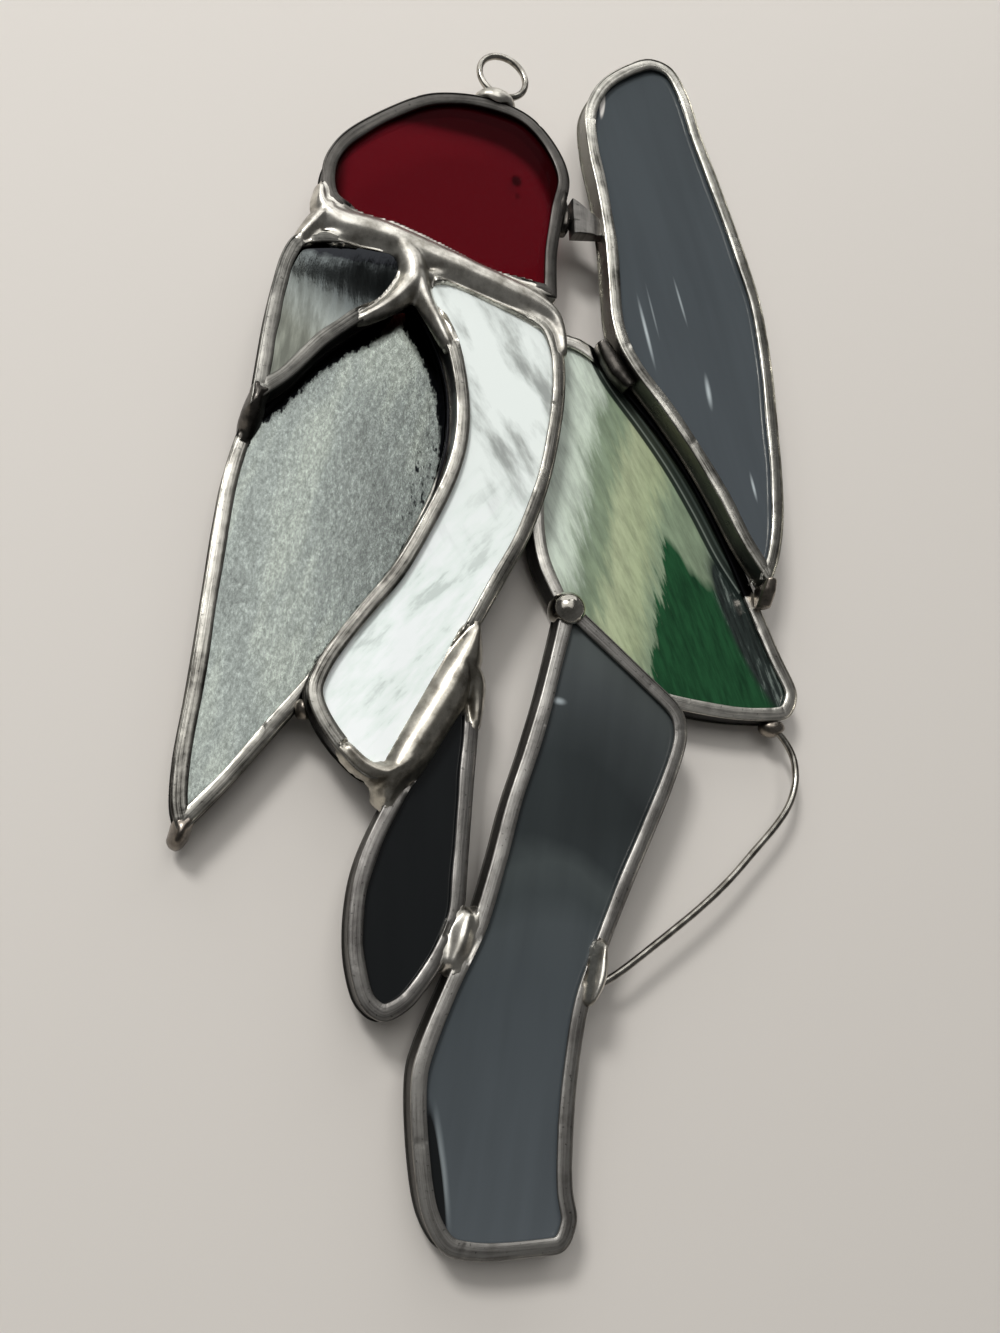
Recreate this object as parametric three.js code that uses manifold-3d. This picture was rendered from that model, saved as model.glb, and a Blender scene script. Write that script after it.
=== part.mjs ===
// A leaded stained-glass suncatcher: a woodpecker clinging to a tree trunk, hung from a jump ring.
// Millimetres, +Z up. The front faces -Y and the origin is the centre of the hanging ring's hole.
// Every piece is laid out flat first, with x to the right, y up the picture and z towards the viewer.
// One group then turns the whole layout upright.
import * as THREE from 'three';
import { mergeVertices } from 'three/addons/utils/BufferGeometryUtils.js';
import Module from 'manifold-3d';

const wasm = await Module();
wasm.setup();

// Driving dimensions
const cameDepth = 5.6; // the U-section strip, from its back lip to its front lip
const cameFace = 3.1; // width of a lip, which is the flat band seen from the front
const cameWall = 0.9; // thickness of the strip's outer wall and of its lips
const glassThick = 3; // sheet glass
const glassPlay = 0.4; // room between the glass and the strip's outer wall
const gap = 0.3; // left between pieces that touch
const upperLevel = cameDepth + gap; // back of the upper layer, which lies on the lower one
const tailLevel = 3; // the tail is soldered halfway between the layers
const trunkHinge = { y: -157, z: upperLevel + 0.05 }; // where the lower trunk rests on the leaf's strip
const trunkTilt = THREE.MathUtils.degToRad(2.8); // its lower end drops back towards the window
const ring = { radius: 5.95, wire: 0.85, level: 8.7 }; // centre line, wire radius, height of its centre
const twig = { radius: 0.95, startLevel: 2.8, endLevel: 5.8, sides: 8, steps: 30 };
const beakBar = { level: 7.1, thick: 3.2 };
const solderCrown = 1.5; // how far a run of solder stands over the strips

// The outer edge of each strip. A loop is smooth all round. Sides meet at corners.
const outlines = {
  redCap: corners([[10.5, -62.5], [11.2, -50], [13.5, -38.5], [15.4, -28], [12.5, -19.5], [5.5, -12.2],
    [-6, -10], [-19.5, -13], [-31, -21], [-40.5, -30.5], [-44.6, -39.5], [-43.6, -48.5], [-37.5, -52],
    [-26, -53.8], [-16.5, -56.8], [-7.5, -59.8], [2.5, -62], [10.5, -62.5]]),
  cheek: corners([[-58.6, -101.5], [-57.3, -90], [-55.5, -76], [-53.7, -66.5], [-50.6, -59.6],
    [-46, -57], [-39, -55.9], [-30, -55.5], [-25.8, -57], [-24.2, -60.5], [-25, -65.5], [-30, -73.2],
    [-37, -78.7], [-44.5, -86.5], [-51.5, -95.3], [-58.6, -101.5]]),
  wing: corners([[-58.8, -101.2], [-61.5, -109.5], [-63.2, -118.5], [-64.5, -130], [-66, -145],
    [-68, -163], [-69.5, -176], [-69.2, -183], [-67.6, -188]],
  [[-67.6, -188], [-62.5, -182.5], [-53.5, -171.5], [-45.5, -161.5], [-40.5, -155]],
  [[-40.5, -155], [-36, -148.5], [-29, -139.5], [-23, -128.5], [-16.5, -115], [-13, -104], [-12, -92],
    [-13.5, -80.5], [-18, -70], [-23, -64.5]],
  [[-23, -64.5], [-29, -67.2], [-38, -75.5], [-46.5, -84.5], [-53.5, -93.5], [-58.8, -101.2]]),
  breast: loop([-22.6, -67.5], [-21.2, -62.3], [-16, -60.6], [-6, -63.2], [3.5, -66.2], [8.8, -69.6],
    [11.3, -76], [11.6, -84], [10.2, -94.5], [7.1, -108], [2.5, -120.8], [-4.5, -133.8], [-13, -149],
    [-19.3, -160], [-24.6, -169.5], [-28.4, -175.2], [-33.2, -177], [-39.2, -172.6], [-44.2, -165.6],
    [-45.8, -160], [-43.6, -153.6], [-36, -142.5], [-28.5, -132.3], [-21.2, -118.6], [-16.5, -107.5],
    [-14.7, -97], [-15.2, -87], [-17.4, -77.5], [-21, -70.8]),
  tail: corners([[-9.5, -154.5], [-10.2, -163], [-11.6, -176], [-13, -189.5], [-13.8, -199.5],
    [-15.8, -206.5], [-20.5, -214], [-25.8, -219.6], [-30.5, -221.3], [-34.4, -218.4], [-36.7, -211],
    [-37, -203], [-35.4, -193.3], [-31, -183], [-26, -174.8], [-20.5, -166], [-15, -158], [-9.5, -154.5]]),
  leaf: loop([11.5, -68.2], [17, -67.7], [22.8, -70.3], [32.5, -79.5], [40, -88.5], [49, -102],
    [55.5, -116.5], [61.4, -132], [64.6, -141], [68.1, -148.5], [69, -153.2], [66.3, -158], [60, -159.3],
    [50, -159.2], [40, -158.2], [31, -156.5], [22, -151.5], [14.5, -144.5], [9, -134.8], [5.5, -126.8],
    [4.3, -119.5], [4.4, -108], [6.4, -96], [8.2, -84], [8.8, -73.5]),
  upperTrunk: corners([[60.7, -128.6], [53.6, -117.2], [46.6, -103], [37.8, -89.2], [30.5, -79.8],
    [25.8, -71.5], [24, -62], [24.2, -48], [22.9, -31], [20.8, -16], [21, -5.5], [25.6, 4.2], [35, 13],
    [41, 15.9], [46.6, 14.8], [50.5, 8.5], [53.6, -4], [58, -19], [63, -37], [66.6, -53], [67.8, -70],
    [67.5, -93], [66.8, -108], [64.6, -119.5], [60.7, -128.6]]),
  lowerTrunk: corners([[8.3, -135.8], [14, -140.2], [22, -147.8], [32, -155.7], [35.6, -160.5],
    [35.7, -166.5], [30, -180], [22.5, -194.5], [15.2, -209.5], [11.2, -219], [9, -228], [7.2, -240.5],
    [6.5, -251], [7.2, -258], [4.6, -262.6], [-3, -263.1], [-12, -262.8], [-18.6, -260.9],
    [-22.3, -255.5], [-24.2, -247], [-24.9, -237], [-24.6, -229.3], [-21.2, -220.5], [-16.8, -211.5],
    [-12.4, -202.3], [-9.3, -193], [-5.4, -180], [-1, -168], [3.2, -155], [8.3, -135.8]]),
};

// The lower trunk's glass was cut short here, and leaves a dark sliver open at its lower left.
const cutShort = [[-23.6, -231], [-21.4, -236], [-19.7, -241.4], [-18.8, -246], [-18.2, -251],
  [-17.7, -256.5], [-17.4, -264], [-30, -264], [-30, -231]];

// Finishes
const finish = (color, roughness, metalness) =>
  new THREE.MeshStandardMaterial({ color, roughness, metalness });
const clearGlass = (color, opacity) => {
  const material = finish(color, 0.05, 0);
  material.transparent = true;
  material.opacity = opacity;
  return material;
};
const darkLead = () => finish(0x6b6867, 0.45, 0.9);
const tinnedLead = () => finish(0xa9a7a0, 0.35, 0.9);
const solderMetal = () => finish(0xb3aea2, 0.22, 1);

// Outlines

// A smooth curve through a few points, sampled closely where it bends and widely where it is straight.
function sample(points, closed) {
  const mostTurn = THREE.MathUtils.degToRad(12);
  const mostLength = 12;
  const along = points.map(([x, y]) => new THREE.Vector3(x, y, 0));
  const fine = new THREE.CatmullRomCurve3(along, closed, 'centripetal').getSpacedPoints(500);
  const kept = [fine[0]];
  let turned = 0;
  let run = 0;
  for (let i = 1; i < fine.length - 1; i++) {
    const into = fine[i].clone().sub(fine[i - 1]);
    const out = fine[i + 1].clone().sub(fine[i]);
    turned += into.angleTo(out);
    run += into.length();
    if (turned > mostTurn || run > mostLength) {
      kept.push(fine[i]);
      turned = 0;
      run = 0;
    }
  }
  if (!closed) kept.push(fine[fine.length - 1]);
  return kept.map((point) => new THREE.Vector2(point.x, point.y));
}

function loop(...points) {
  const path = sample(points, true);
  return { closed: true, paths: [THREE.ShapeUtils.area(path) < 0 ? path.reverse() : path] };
}

function corners(...sides) {
  const paths = sides.map((side) => sample(side, false));
  if (THREE.ShapeUtils.area(paths.flat()) < 0) {
    paths.reverse();
    paths.forEach((path) => path.reverse());
  }
  return { closed: false, paths };
}

// A path moved sideways, to its left for a positive distance. An outline runs counter-clockwise,
// so its left is its inside.
function shifted(path, distance, closed) {
  const count = path.length;
  return path.map((point, i) => {
    const before = closed ? path[(i + count - 1) % count] : path[Math.max(i - 1, 0)];
    const after = closed ? path[(i + 1) % count] : path[Math.min(i + 1, count - 1)];
    const into = point.clone().sub(before).normalize();
    const out = after.clone().sub(point).normalize();
    const normal = new THREE.Vector2(-into.y - out.y, into.x + out.x).normalize();
    const edge = into.lengthSq() > 0 ? into : out;
    const stretch = 1 / Math.max(normal.x * -edge.y + normal.y * edge.x, 0.5);
    return point.clone().addScaledVector(normal, distance * stretch);
  });
}

// Where the segment a-b crosses the segment c-d, or null.
function crossing(a, b, c, d) {
  const ab = b.clone().sub(a);
  const cd = d.clone().sub(c);
  const ac = c.clone().sub(a);
  const turn = ab.cross(cd);
  if (Math.abs(turn) < 1e-9) return null;
  const s = ac.cross(cd) / turn;
  const t = ac.cross(ab) / turn;
  return s >= 0 && s <= 1 && t >= 0 && t <= 1 ? a.clone().addScaledVector(ab, s) : null;
}

// The polygon without the small loops that an inset leaves at its corners and tight bends.
function untangled(polygon) {
  const kept = [...polygon];
  for (let i = 0; i < kept.length; i++) {
    for (let j = Math.min(i + Math.floor(kept.length / 2), kept.length - 2); j > i + 1; j--) {
      const point = crossing(kept[i], kept[i + 1], kept[j], kept[j + 1]);
      if (point) {
        kept.splice(i + 1, j - i, point);
        break;
      }
    }
  }
  return kept;
}

// The outline moved inwards by a distance, as one closed polygon, with its corners kept sharp.
function inset(outline, distance) {
  const moved = outline.paths.flatMap((path) => shifted(path, distance, outline.closed));
  const apart = moved.filter((point, i) => point.distanceTo(moved[(i + 1) % moved.length]) > 0.02);
  const start = Math.floor(outline.paths[0].length / 2);
  const polygon = [...apart.slice(start), ...apart.slice(0, start)];
  return distance > 0 ? untangled(polygon) : polygon;
}

// Solids

function solid(geometry) {
  const bare = geometry.clone();
  bare.deleteAttribute('normal');
  bare.deleteAttribute('uv');
  const merged = mergeVertices(bare, 1e-4);
  const vertProperties = new Float32Array(merged.attributes.position.array);
  const triVerts = new Uint32Array(merged.index.array);
  return new wasm.Manifold(new wasm.Mesh({ numProp: 3, vertProperties, triVerts }));
}

function surface(manifold) {
  const { vertProperties, triVerts } = manifold.getMesh();
  const geometry = new THREE.BufferGeometry();
  geometry.setAttribute('position', new THREE.BufferAttribute(vertProperties, 3));
  geometry.setIndex(new THREE.BufferAttribute(triVerts, 1));
  return geometry;
}

function slab(polygon, level, thick) {
  const shape = new THREE.Shape(polygon);
  const geometry = new THREE.ExtrudeGeometry(shape, { depth: thick, bevelEnabled: false });
  geometry.translate(0, 0, level);
  return geometry;
}

// A closed skin over a row of rings that have the same number of points.
function loft(rings) {
  const count = rings[0].length;
  const points = rings.flat();
  const faces = [];
  for (let i = 0; i < rings.length - 1; i++) {
    for (let k = 0; k < count; k++) {
      const a = i * count + k;
      const b = i * count + ((k + 1) % count);
      faces.push(a, b, b + count, a, b + count, a + count);
    }
  }
  const end = (rings.length - 1) * count;
  for (let k = 1; k < count - 1; k++) {
    faces.push(0, k + 1, k, end, end + k, end + k + 1);
  }
  const geometry = new THREE.BufferGeometry().setFromPoints(points);
  geometry.setIndex(faces);
  return geometry;
}

// A run of solder through stations [x, y, width, top, bottom]: round on top and narrower below.
function bead(stations) {
  const arcs = 6;
  const footHalf = 0.36; // half the width of its underside, as a share of its full width
  const rings = stations.map(([x, y, width, top, bottom], i) => {
    const before = stations[Math.max(i - 1, 0)];
    const after = stations[Math.min(i + 1, stations.length - 1)];
    const side = new THREE.Vector2(-(after[1] - before[1]), after[0] - before[0]).normalize();
    const at = (across, z) => new THREE.Vector3(x + side.x * across, y + side.y * across, z);
    const crown = Math.min((top - bottom) * 0.5, width * 0.4);
    const ringPoints = [at(-width * footHalf, bottom), at(width * footHalf, bottom)];
    for (let k = 0; k <= arcs; k++) {
      const angle = (Math.PI * k) / arcs;
      ringPoints.push(at((Math.cos(angle) * width) / 2, top - crown + Math.sin(angle) * crown));
    }
    return ringPoints;
  });
  return solid(loft(rings));
}

function lump(x, y, z, radiusX, radiusY, radiusZ) {
  const geometry = new THREE.SphereGeometry(1, 14, 9);
  geometry.rotateX(Math.PI / 2);
  geometry.scale(radiusX, radiusY, radiusZ);
  geometry.translate(x, y, z);
  return solid(geometry);
}

// The layout

const lowerLayer = new THREE.Group();
const upperLayer = new THREE.Group();
upperLayer.position.z = upperLevel;
const tailLayer = new THREE.Group();
tailLayer.position.z = tailLevel;
const trunkLayer = new THREE.Group();
trunkLayer.position.set(0, trunkHinge.y, trunkHinge.z);
trunkLayer.rotation.x = trunkTilt;
const trunkPieces = new THREE.Group();
trunkPieces.position.y = -trunkHinge.y;
trunkLayer.add(trunkPieces);
const metalwork = new THREE.Group();

const flatLayout = new THREE.Group();
flatLayout.add(lowerLayer, upperLayer, tailLayer, trunkLayer, metalwork);
flatLayout.updateMatrixWorld(true);

function add(layer, name, geometry, material) {
  const mesh = new THREE.Mesh(geometry, material);
  mesh.name = name;
  layer.add(mesh);
}

// One pane: its sheet of glass and the U-section strip bent around it.
function pane(layer, name, outline, glassMaterial, strip, missing) {
  const sheet = slab(inset(outline, cameWall + glassPlay), (cameDepth - glassThick) / 2, glassThick);
  const glass = missing ? surface(solid(sheet).subtract(missing)) : sheet;
  add(layer, `${name}_glass`, glass, glassMaterial);
  const block = solid(slab(inset(outline, 0), 0, cameDepth));
  const window = solid(slab(inset(outline, cameFace), -1, cameDepth + 2));
  const channel = solid(slab(inset(outline, cameWall), cameWall, cameDepth - 2 * cameWall));
  add(layer, `${name}_came`, surface(block.subtract(window).subtract(channel)), strip);
  return { outline, layer };
}

const sheets = {
  red: clearGlass(0x7a0c10, 0.75),
  reamy: finish(0x7d8482, 0.08, 0.6),
  granite: finish(0x9ea5a1, 0.22, 0.6),
  whiteWispy: finish(0xe6ece8, 0.12, 0),
  greenWispy: finish(0x8aa28c, 0.1, 0),
  blueGray: finish(0x4d5459, 0.12, 0),
  gray: finish(0x434b4e, 0.12, 0),
  black: finish(0x1e2022, 0.06, 0),
};
const shortfall = solid(slab(cutShort.map(([x, y]) => new THREE.Vector2(x, y)), 0, cameDepth));
const redCap = pane(upperLayer, 'red_cap', outlines.redCap, sheets.red, darkLead());
const cheek = pane(upperLayer, 'cheek', outlines.cheek, sheets.reamy, tinnedLead());
const breast = pane(upperLayer, 'breast', outlines.breast, sheets.whiteWispy, tinnedLead());
const upperTrunk = pane(upperLayer, 'upper_trunk', outlines.upperTrunk, sheets.blueGray, tinnedLead());
const wing = pane(lowerLayer, 'wing', outlines.wing, sheets.granite, tinnedLead());
const leaf = pane(lowerLayer, 'leaf', outlines.leaf, sheets.greenWispy, darkLead());
const tail = pane(tailLayer, 'tail', outlines.tail, sheets.black, darkLead());
const lowerTrunk = pane(trunkPieces, 'lower_trunk', outlines.lowerTrunk, sheets.gray, darkLead(), shortfall);

// The room a pane takes up with a gap all round, to be cut out of the solder that flows against it.
function room({ outline, layer }) {
  const geometry = slab(inset(outline, -gap), -gap, cameDepth + 2 * gap);
  return solid(geometry.applyMatrix4(layer.matrixWorld));
}

function cut(blob, panes, others = []) {
  const tools = [...panes.map(room), ...others];
  return surface(tools.reduce((rest, tool) => rest.subtract(tool), blob));
}

function join(...blobs) {
  return blobs.reduce((sum, blob) => sum.add(blob));
}

// Metalwork

function ringTorus(wire) {
  return new THREE.TorusGeometry(ring.radius, wire, 8, 26).translate(0, 0, ring.level);
}
add(metalwork, 'hanging_ring', ringTorus(ring.wire), tinnedLead());

// The twig leaves the leaf's lower corner, turns down and runs straight to the trunk's right side.
function twigSolid(radius, overrun) {
  const route = [[63 - overrun, -159.7 + overrun], [65.6, -162.6], [67.5, -166.5], [67.7, -170.6],
    [66.7, -174.4], [64.4, -178.6], [60, -183.4], [54, -188.8], [47, -195], [39, -201], [28, -208.2],
    [20.5, -212.9], [15.8, -215.3], [13.6 - overrun, -215.8]];
  const climb = (twig.endLevel - twig.startLevel) / (route.length - 1);
  const path = route.map(([x, y], i) => new THREE.Vector3(x, y, twig.startLevel + climb * i));
  const section = [...Array(twig.sides).keys()].map((k) => {
    const angle = (k / twig.sides) * 2 * Math.PI;
    return new THREE.Vector2(Math.cos(angle) * radius, Math.sin(angle) * radius);
  });
  const curve = new THREE.CatmullRomCurve3(path, false, 'centripetal');
  return new THREE.ExtrudeGeometry(new THREE.Shape(section), { steps: twig.steps, extrudePath: curve });
}
add(metalwork, 'twig_wire', twigSolid(twig.radius, 0), tinnedLead());

function beakSlab(grown) {
  const left = 16.4 - grown;
  const right = 25 + grown;
  const outline = [[left, -42.4 - grown], [right, -40.9 - grown], [right, -36.6 + grown],
    [19.8, -33.6 + grown], [left, -32.6 + grown]].map(([x, y]) => new THREE.Vector2(x, y));
  return slab(outline, beakBar.level - grown, beakBar.thick + 2 * grown);
}
add(metalwork, 'beak', cut(solid(beakSlab(0)), [upperTrunk]), darkLead());

// Solder

const upperFace = upperLevel + cameDepth;
const lowerFace = cameDepth;
const tailFace = tailLevel + cameDepth;
const trunkFaceAt = (y) => trunkHinge.z + (y - trunkHinge.y) * Math.tan(trunkTilt) + cameDepth;
const run = (points, top, bottom) => bead(points.map(([x, y, width]) => [x, y, width, top, bottom]));

const crownTop = upperFace + solderCrown;
const headSeam = join(
  run([[-45, -46.5, 2.6], [-44.3, -50, 4], [-41.5, -53, 6.6], [-36.5, -53.8, 8], [-31, -54.2, 7.6],
    [-26, -55.4, 7], [-21, -57, 7.2], [-15, -58.6, 7.2], [-8, -60.6, 7], [-1, -62.7, 6.8],
    [5, -64.6, 6.6], [9.3, -67.2, 5.4], [11.2, -71.5, 3.6], [11.6, -75, 2.6]], crownTop, upperLevel + 1.5),
  run([[-43, -50.5, 4], [-45.6, -54.4, 4.4], [-48.6, -58.4, 3]], crownTop - 0.4, upperLevel + 1.5),
  run([[-27, -55.6, 5], [-24, -59.8, 6.6], [-23.6, -64, 6], [-26.4, -68.4, 4.4], [-31, -73.2, 3]],
    crownTop - 0.1, upperLevel + 1.5),
  run([[-23, -63, 5], [-21.4, -68.2, 4], [-18.4, -74.6, 2.8]], crownTop - 0.2, upperLevel + 1.5),
);
add(metalwork, 'solder_head_seam', cut(headSeam, [redCap, cheek, breast]), solderMetal());

const bellySeam = join(
  run([[-11.6, -148.6, 4.4], [-12.9, -152.8, 7.4], [-16.9, -158.8, 8.2], [-21.5, -166.2, 7.8],
    [-26.2, -173.8, 7.2], [-29.2, -178.6, 5.4], [-30.6, -181.6, 3.6]], crownTop, tailLevel + 1),
  run([[-27, -174.4, 4.6], [-32.6, -175.8, 4.4], [-36.2, -174, 3.8], [-38.6, -171.6, 3]],
    crownTop - 0.4, upperLevel + 1),
  run([[-13.5, -152, 5], [-10.6, -155.6, 5.4], [-10.8, -159.8, 3.6]], tailFace + 1.4, tailLevel + 1),
);
add(metalwork, 'solder_belly_seam', cut(bellySeam, [breast, tail]), solderMetal());

const ringRoom = solid(ringTorus(ring.wire + gap));
const ringFoot = lump(-2.6, -9.2, ring.level, 5.2, 3.2, 3.9);
add(metalwork, 'solder_ring_foot', cut(ringFoot, [redCap], [ringRoom]), solderMetal());

const beakFoot = lump(17.2, -37.6, 8.7, 4, 4.6, 3.3);
add(metalwork, 'solder_beak', cut(beakFoot, [redCap], [solid(beakSlab(gap))]), solderMetal());

const cheekTip = lump(-57.6, -102.4, 7.8, 2.5, 3.2, 2.6);
add(metalwork, 'solder_cheek_tip', cut(cheekTip, [wing, cheek]), solderMetal());
const wingTip = lump(-67.8, -187.4, 2.6, 2.5, 2.1, 2.3);
add(metalwork, 'solder_wing_tip', cut(wingTip, [wing]), solderMetal());
const wingJoint = lump(-45.4, -162.6, 5.4, 1.8, 2, 2.8);
add(metalwork, 'solder_wing_joint', cut(wingJoint, [wing, breast]), solderMetal());

const ballFace = trunkFaceAt(-139.9);
add(metalwork, 'solder_ball', cut(lump(9.2, -139.2, ballFace - 1.6, 3.9, 3.9, 4.1), [lowerTrunk, leaf]),
  solderMetal());

const tailJoint = run([[-14.4, -202.2, 5.6], [-14.8, -205, 6.4], [-15.6, -207.8, 6.4], [-16.4, -210.2, 6],
  [-17, -211.8, 5.4]], tailFace + 1.5, tailLevel + 1);
add(metalwork, 'solder_tail_joint', cut(tailJoint, [tail, lowerTrunk]), solderMetal());

const twigRoom = solid(twigSolid(twig.radius + gap, gap));
const trunkFace = trunkFaceAt(-213);
const twigJoint = run([[14.2, -208, 3.4], [13.2, -211, 4.6], [12.6, -214, 6.4], [11.4, -216.6, 5],
  [10, -219.4, 3.2]], trunkFace + 1.2, trunkFace - 4.6);
add(metalwork, 'solder_twig_trunk', cut(twigJoint, [lowerTrunk], [twigRoom]), solderMetal());
const twigStart = lump(62.8, -160.2, 2.8, 3, 2, 2.5);
add(metalwork, 'solder_twig_leaf', cut(twigStart, [leaf], [twigRoom]), solderMetal());

const leafTop = run([[22.6, -70.2, 2.6], [24.6, -73.6, 4], [26.6, -77, 4.2], [29.4, -80.8, 2.8]],
  upperFace - 1.6, lowerFace + gap);
add(metalwork, 'solder_leaf_top', cut(leafTop, [leaf, upperTrunk]), solderMetal());

const trunkTip = bead([[60.9, -127, 2.6, upperFace + 1, lowerFace + gap],
  [60.7, -129.6, 3.2, upperFace, lowerFace + gap], [60.6, -132.6, 3.2, upperFace - 2.6, lowerFace + gap]]);
add(metalwork, 'solder_trunk_tip', cut(trunkTip, [upperTrunk, leaf]), solderMetal());

// Upright: the flat layout turns to face -Y, with the ring's centre at the origin.
const suncatcher = new THREE.Group();
suncatcher.rotation.x = Math.PI / 2;
suncatcher.position.y = ring.level;
suncatcher.add(flatLayout);
const model = new THREE.Group();
model.add(suncatcher);

export default model;
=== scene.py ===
# A leaded stained-glass suncatcher: a woodpecker on a tree trunk, hung by a small ring.
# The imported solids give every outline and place. This script makes the finished surfaces on them.
import bmesh
import bpy
import math
import numpy as np
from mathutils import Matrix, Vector


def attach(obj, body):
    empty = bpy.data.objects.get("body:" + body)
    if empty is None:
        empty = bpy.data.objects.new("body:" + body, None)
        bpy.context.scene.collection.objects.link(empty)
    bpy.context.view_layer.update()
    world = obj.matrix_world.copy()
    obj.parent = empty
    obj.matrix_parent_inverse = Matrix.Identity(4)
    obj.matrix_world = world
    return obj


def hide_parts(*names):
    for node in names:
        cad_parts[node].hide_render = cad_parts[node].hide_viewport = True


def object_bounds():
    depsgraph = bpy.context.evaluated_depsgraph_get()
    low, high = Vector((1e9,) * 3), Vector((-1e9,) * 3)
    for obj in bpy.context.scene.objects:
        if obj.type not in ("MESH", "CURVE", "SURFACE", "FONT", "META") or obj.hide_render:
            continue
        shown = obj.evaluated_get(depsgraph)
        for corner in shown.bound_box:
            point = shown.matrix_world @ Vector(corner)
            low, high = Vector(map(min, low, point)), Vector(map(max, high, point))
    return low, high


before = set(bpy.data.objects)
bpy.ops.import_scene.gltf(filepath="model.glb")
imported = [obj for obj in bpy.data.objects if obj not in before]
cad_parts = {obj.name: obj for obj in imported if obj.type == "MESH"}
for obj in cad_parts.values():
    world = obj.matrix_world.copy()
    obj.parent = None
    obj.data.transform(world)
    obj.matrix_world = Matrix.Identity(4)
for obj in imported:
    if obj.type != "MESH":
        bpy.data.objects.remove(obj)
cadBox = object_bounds()
mm = 0.001
print("frame loaded")


def linear(hexColour):
    # an sRGB hex value as linear red, green, blue and alpha
    channels = [int(hexColour[i:i + 2], 16) / 255 for i in (1, 3, 5)]
    curve = lambda c: c / 12.92 if c <= 0.04045 else ((c + 0.055) / 1.055) ** 2.4
    return [curve(c) for c in channels] + [1.0]


def addNode(tree, kind, inputs={}, **settings):
    # a node with its settings, and its inputs as plain values, other nodes (their first output) or sockets
    node = tree.nodes.new(kind)
    for name, value in settings.items():
        setattr(node, name, value)
    for name, value in inputs.items():
        if isinstance(value, bpy.types.Node):
            value = value.outputs[0]
        if isinstance(value, bpy.types.NodeSocket):
            tree.links.new(value, node.inputs[name])
        else:
            node.inputs[name].default_value = value
    return node


def newMaterial(name):
    material = bpy.data.materials.new(name)
    material.use_nodes = True
    tree = material.node_tree
    tree.nodes.clear()
    return material, tree


def finishMaterial(tree, shader):
    addNode(tree, "ShaderNodeOutputMaterial", {"Surface": shader})


def ramp(tree, factor, stops):
    # colours along a value, through (position, hex colour) or (position, gray level) stops
    node = addNode(tree, "ShaderNodeValToRGB", {"Fac": factor})
    elements = node.color_ramp.elements
    while len(elements) < len(stops):
        elements.new(0.5)
    for element, (position, colour) in zip(elements, stops):
        element.position = position
        element.color = linear(colour) if isinstance(colour, str) else (colour, colour, colour, 1)
    return node.outputs["Color"]


def addObject(name, data):
    thing = bpy.data.objects.new(name, data)
    bpy.context.scene.collection.objects.link(thing)
    return thing


def newPiece(name, points, faces, material):
    mesh = bpy.data.meshes.new(name)
    mesh.from_pydata([tuple(p) for p in points], [], faces)
    mesh.validate()
    mesh.update()
    mesh.materials.append(material)
    mesh.shade_smooth()
    return addObject(name, mesh)


def seat(piece, node):
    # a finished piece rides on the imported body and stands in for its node
    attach(piece, "root")
    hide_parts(node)


# the camera stands left of the suncatcher and below its middle and looks up, its place in millimetres
view = {"place": (-83.60, -208.13, -217.22), "aim": (0.33704, 0.89844, 0.28143), "up": (0.03176, 0, 0.99950),
        "lens": 30.25, "sensor": 36, "nearest": 0.01}


def setCamera():
    data = bpy.data.cameras.new("camera")
    data.lens = view["lens"]
    data.sensor_width = view["sensor"]
    data.sensor_height = view["sensor"]
    data.sensor_fit = "AUTO"
    data.clip_start = view["nearest"]
    camera = addObject("camera", data)
    forward = Vector(view["aim"]).normalized()
    right = forward.cross(Vector(view["up"])).normalized()
    up = right.cross(forward)
    matrix = camera.matrix_world.copy()
    for row in range(3):
        matrix[row][0], matrix[row][1], matrix[row][2] = right[row], up[row], -forward[row]
        matrix[row][3] = view["place"][row] * mm
    camera.matrix_world = matrix
    bpy.context.scene.camera = camera


# the board hangs close behind the suncatcher. Gap and size in metres.
studio = {"backdropGap": 2.2 * mm, "backdropSize": 2.4, "backdropDrop": 0.1, "backdrop": "#d9d3cb",
          "backdropRough": 0.7, "surround": "#5e5e5e", "lampsAim": (0, 0, -0.125)}
# each lamp's direction from the suncatcher, its distance, width and height in metres, and its watts
softboxes = {
    "key_softbox": ((-0.35, -1.0, 0.41), 1.5, 1.86, 1.04, 10.6),  # broad front light
    "small_softbox": ((-0.62, -1.0, 0.8), 2.4, 0.5, 0.5, 29),  # small and strong, for the shadows
    "top_softbox": ((0, -0.33, 0.94), 1.2, 1.8, 0.76, 6),  # from above
    "bridge_softbox": ((0.30, -1.1, 1.075), 1.57, 0.38, 0.28, 1.1),  # between key and top
    "rear_softbox": ((0.35, 1.0, 0.4), 1.5, 1.6, 1.2, 12),  # from behind
}


def softbox(name, direction, distance, width, height, watts):
    data = bpy.data.lights.new(name, "AREA")
    data.shape = "RECTANGLE"
    data.size = width
    data.size_y = height
    data.energy = watts
    light = addObject(name, data)
    away = Vector(direction).normalized()
    light.location = Vector(studio["lampsAim"]) + away * distance
    light.rotation_euler = away.to_track_quat("Z", "Y").to_euler()


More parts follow.
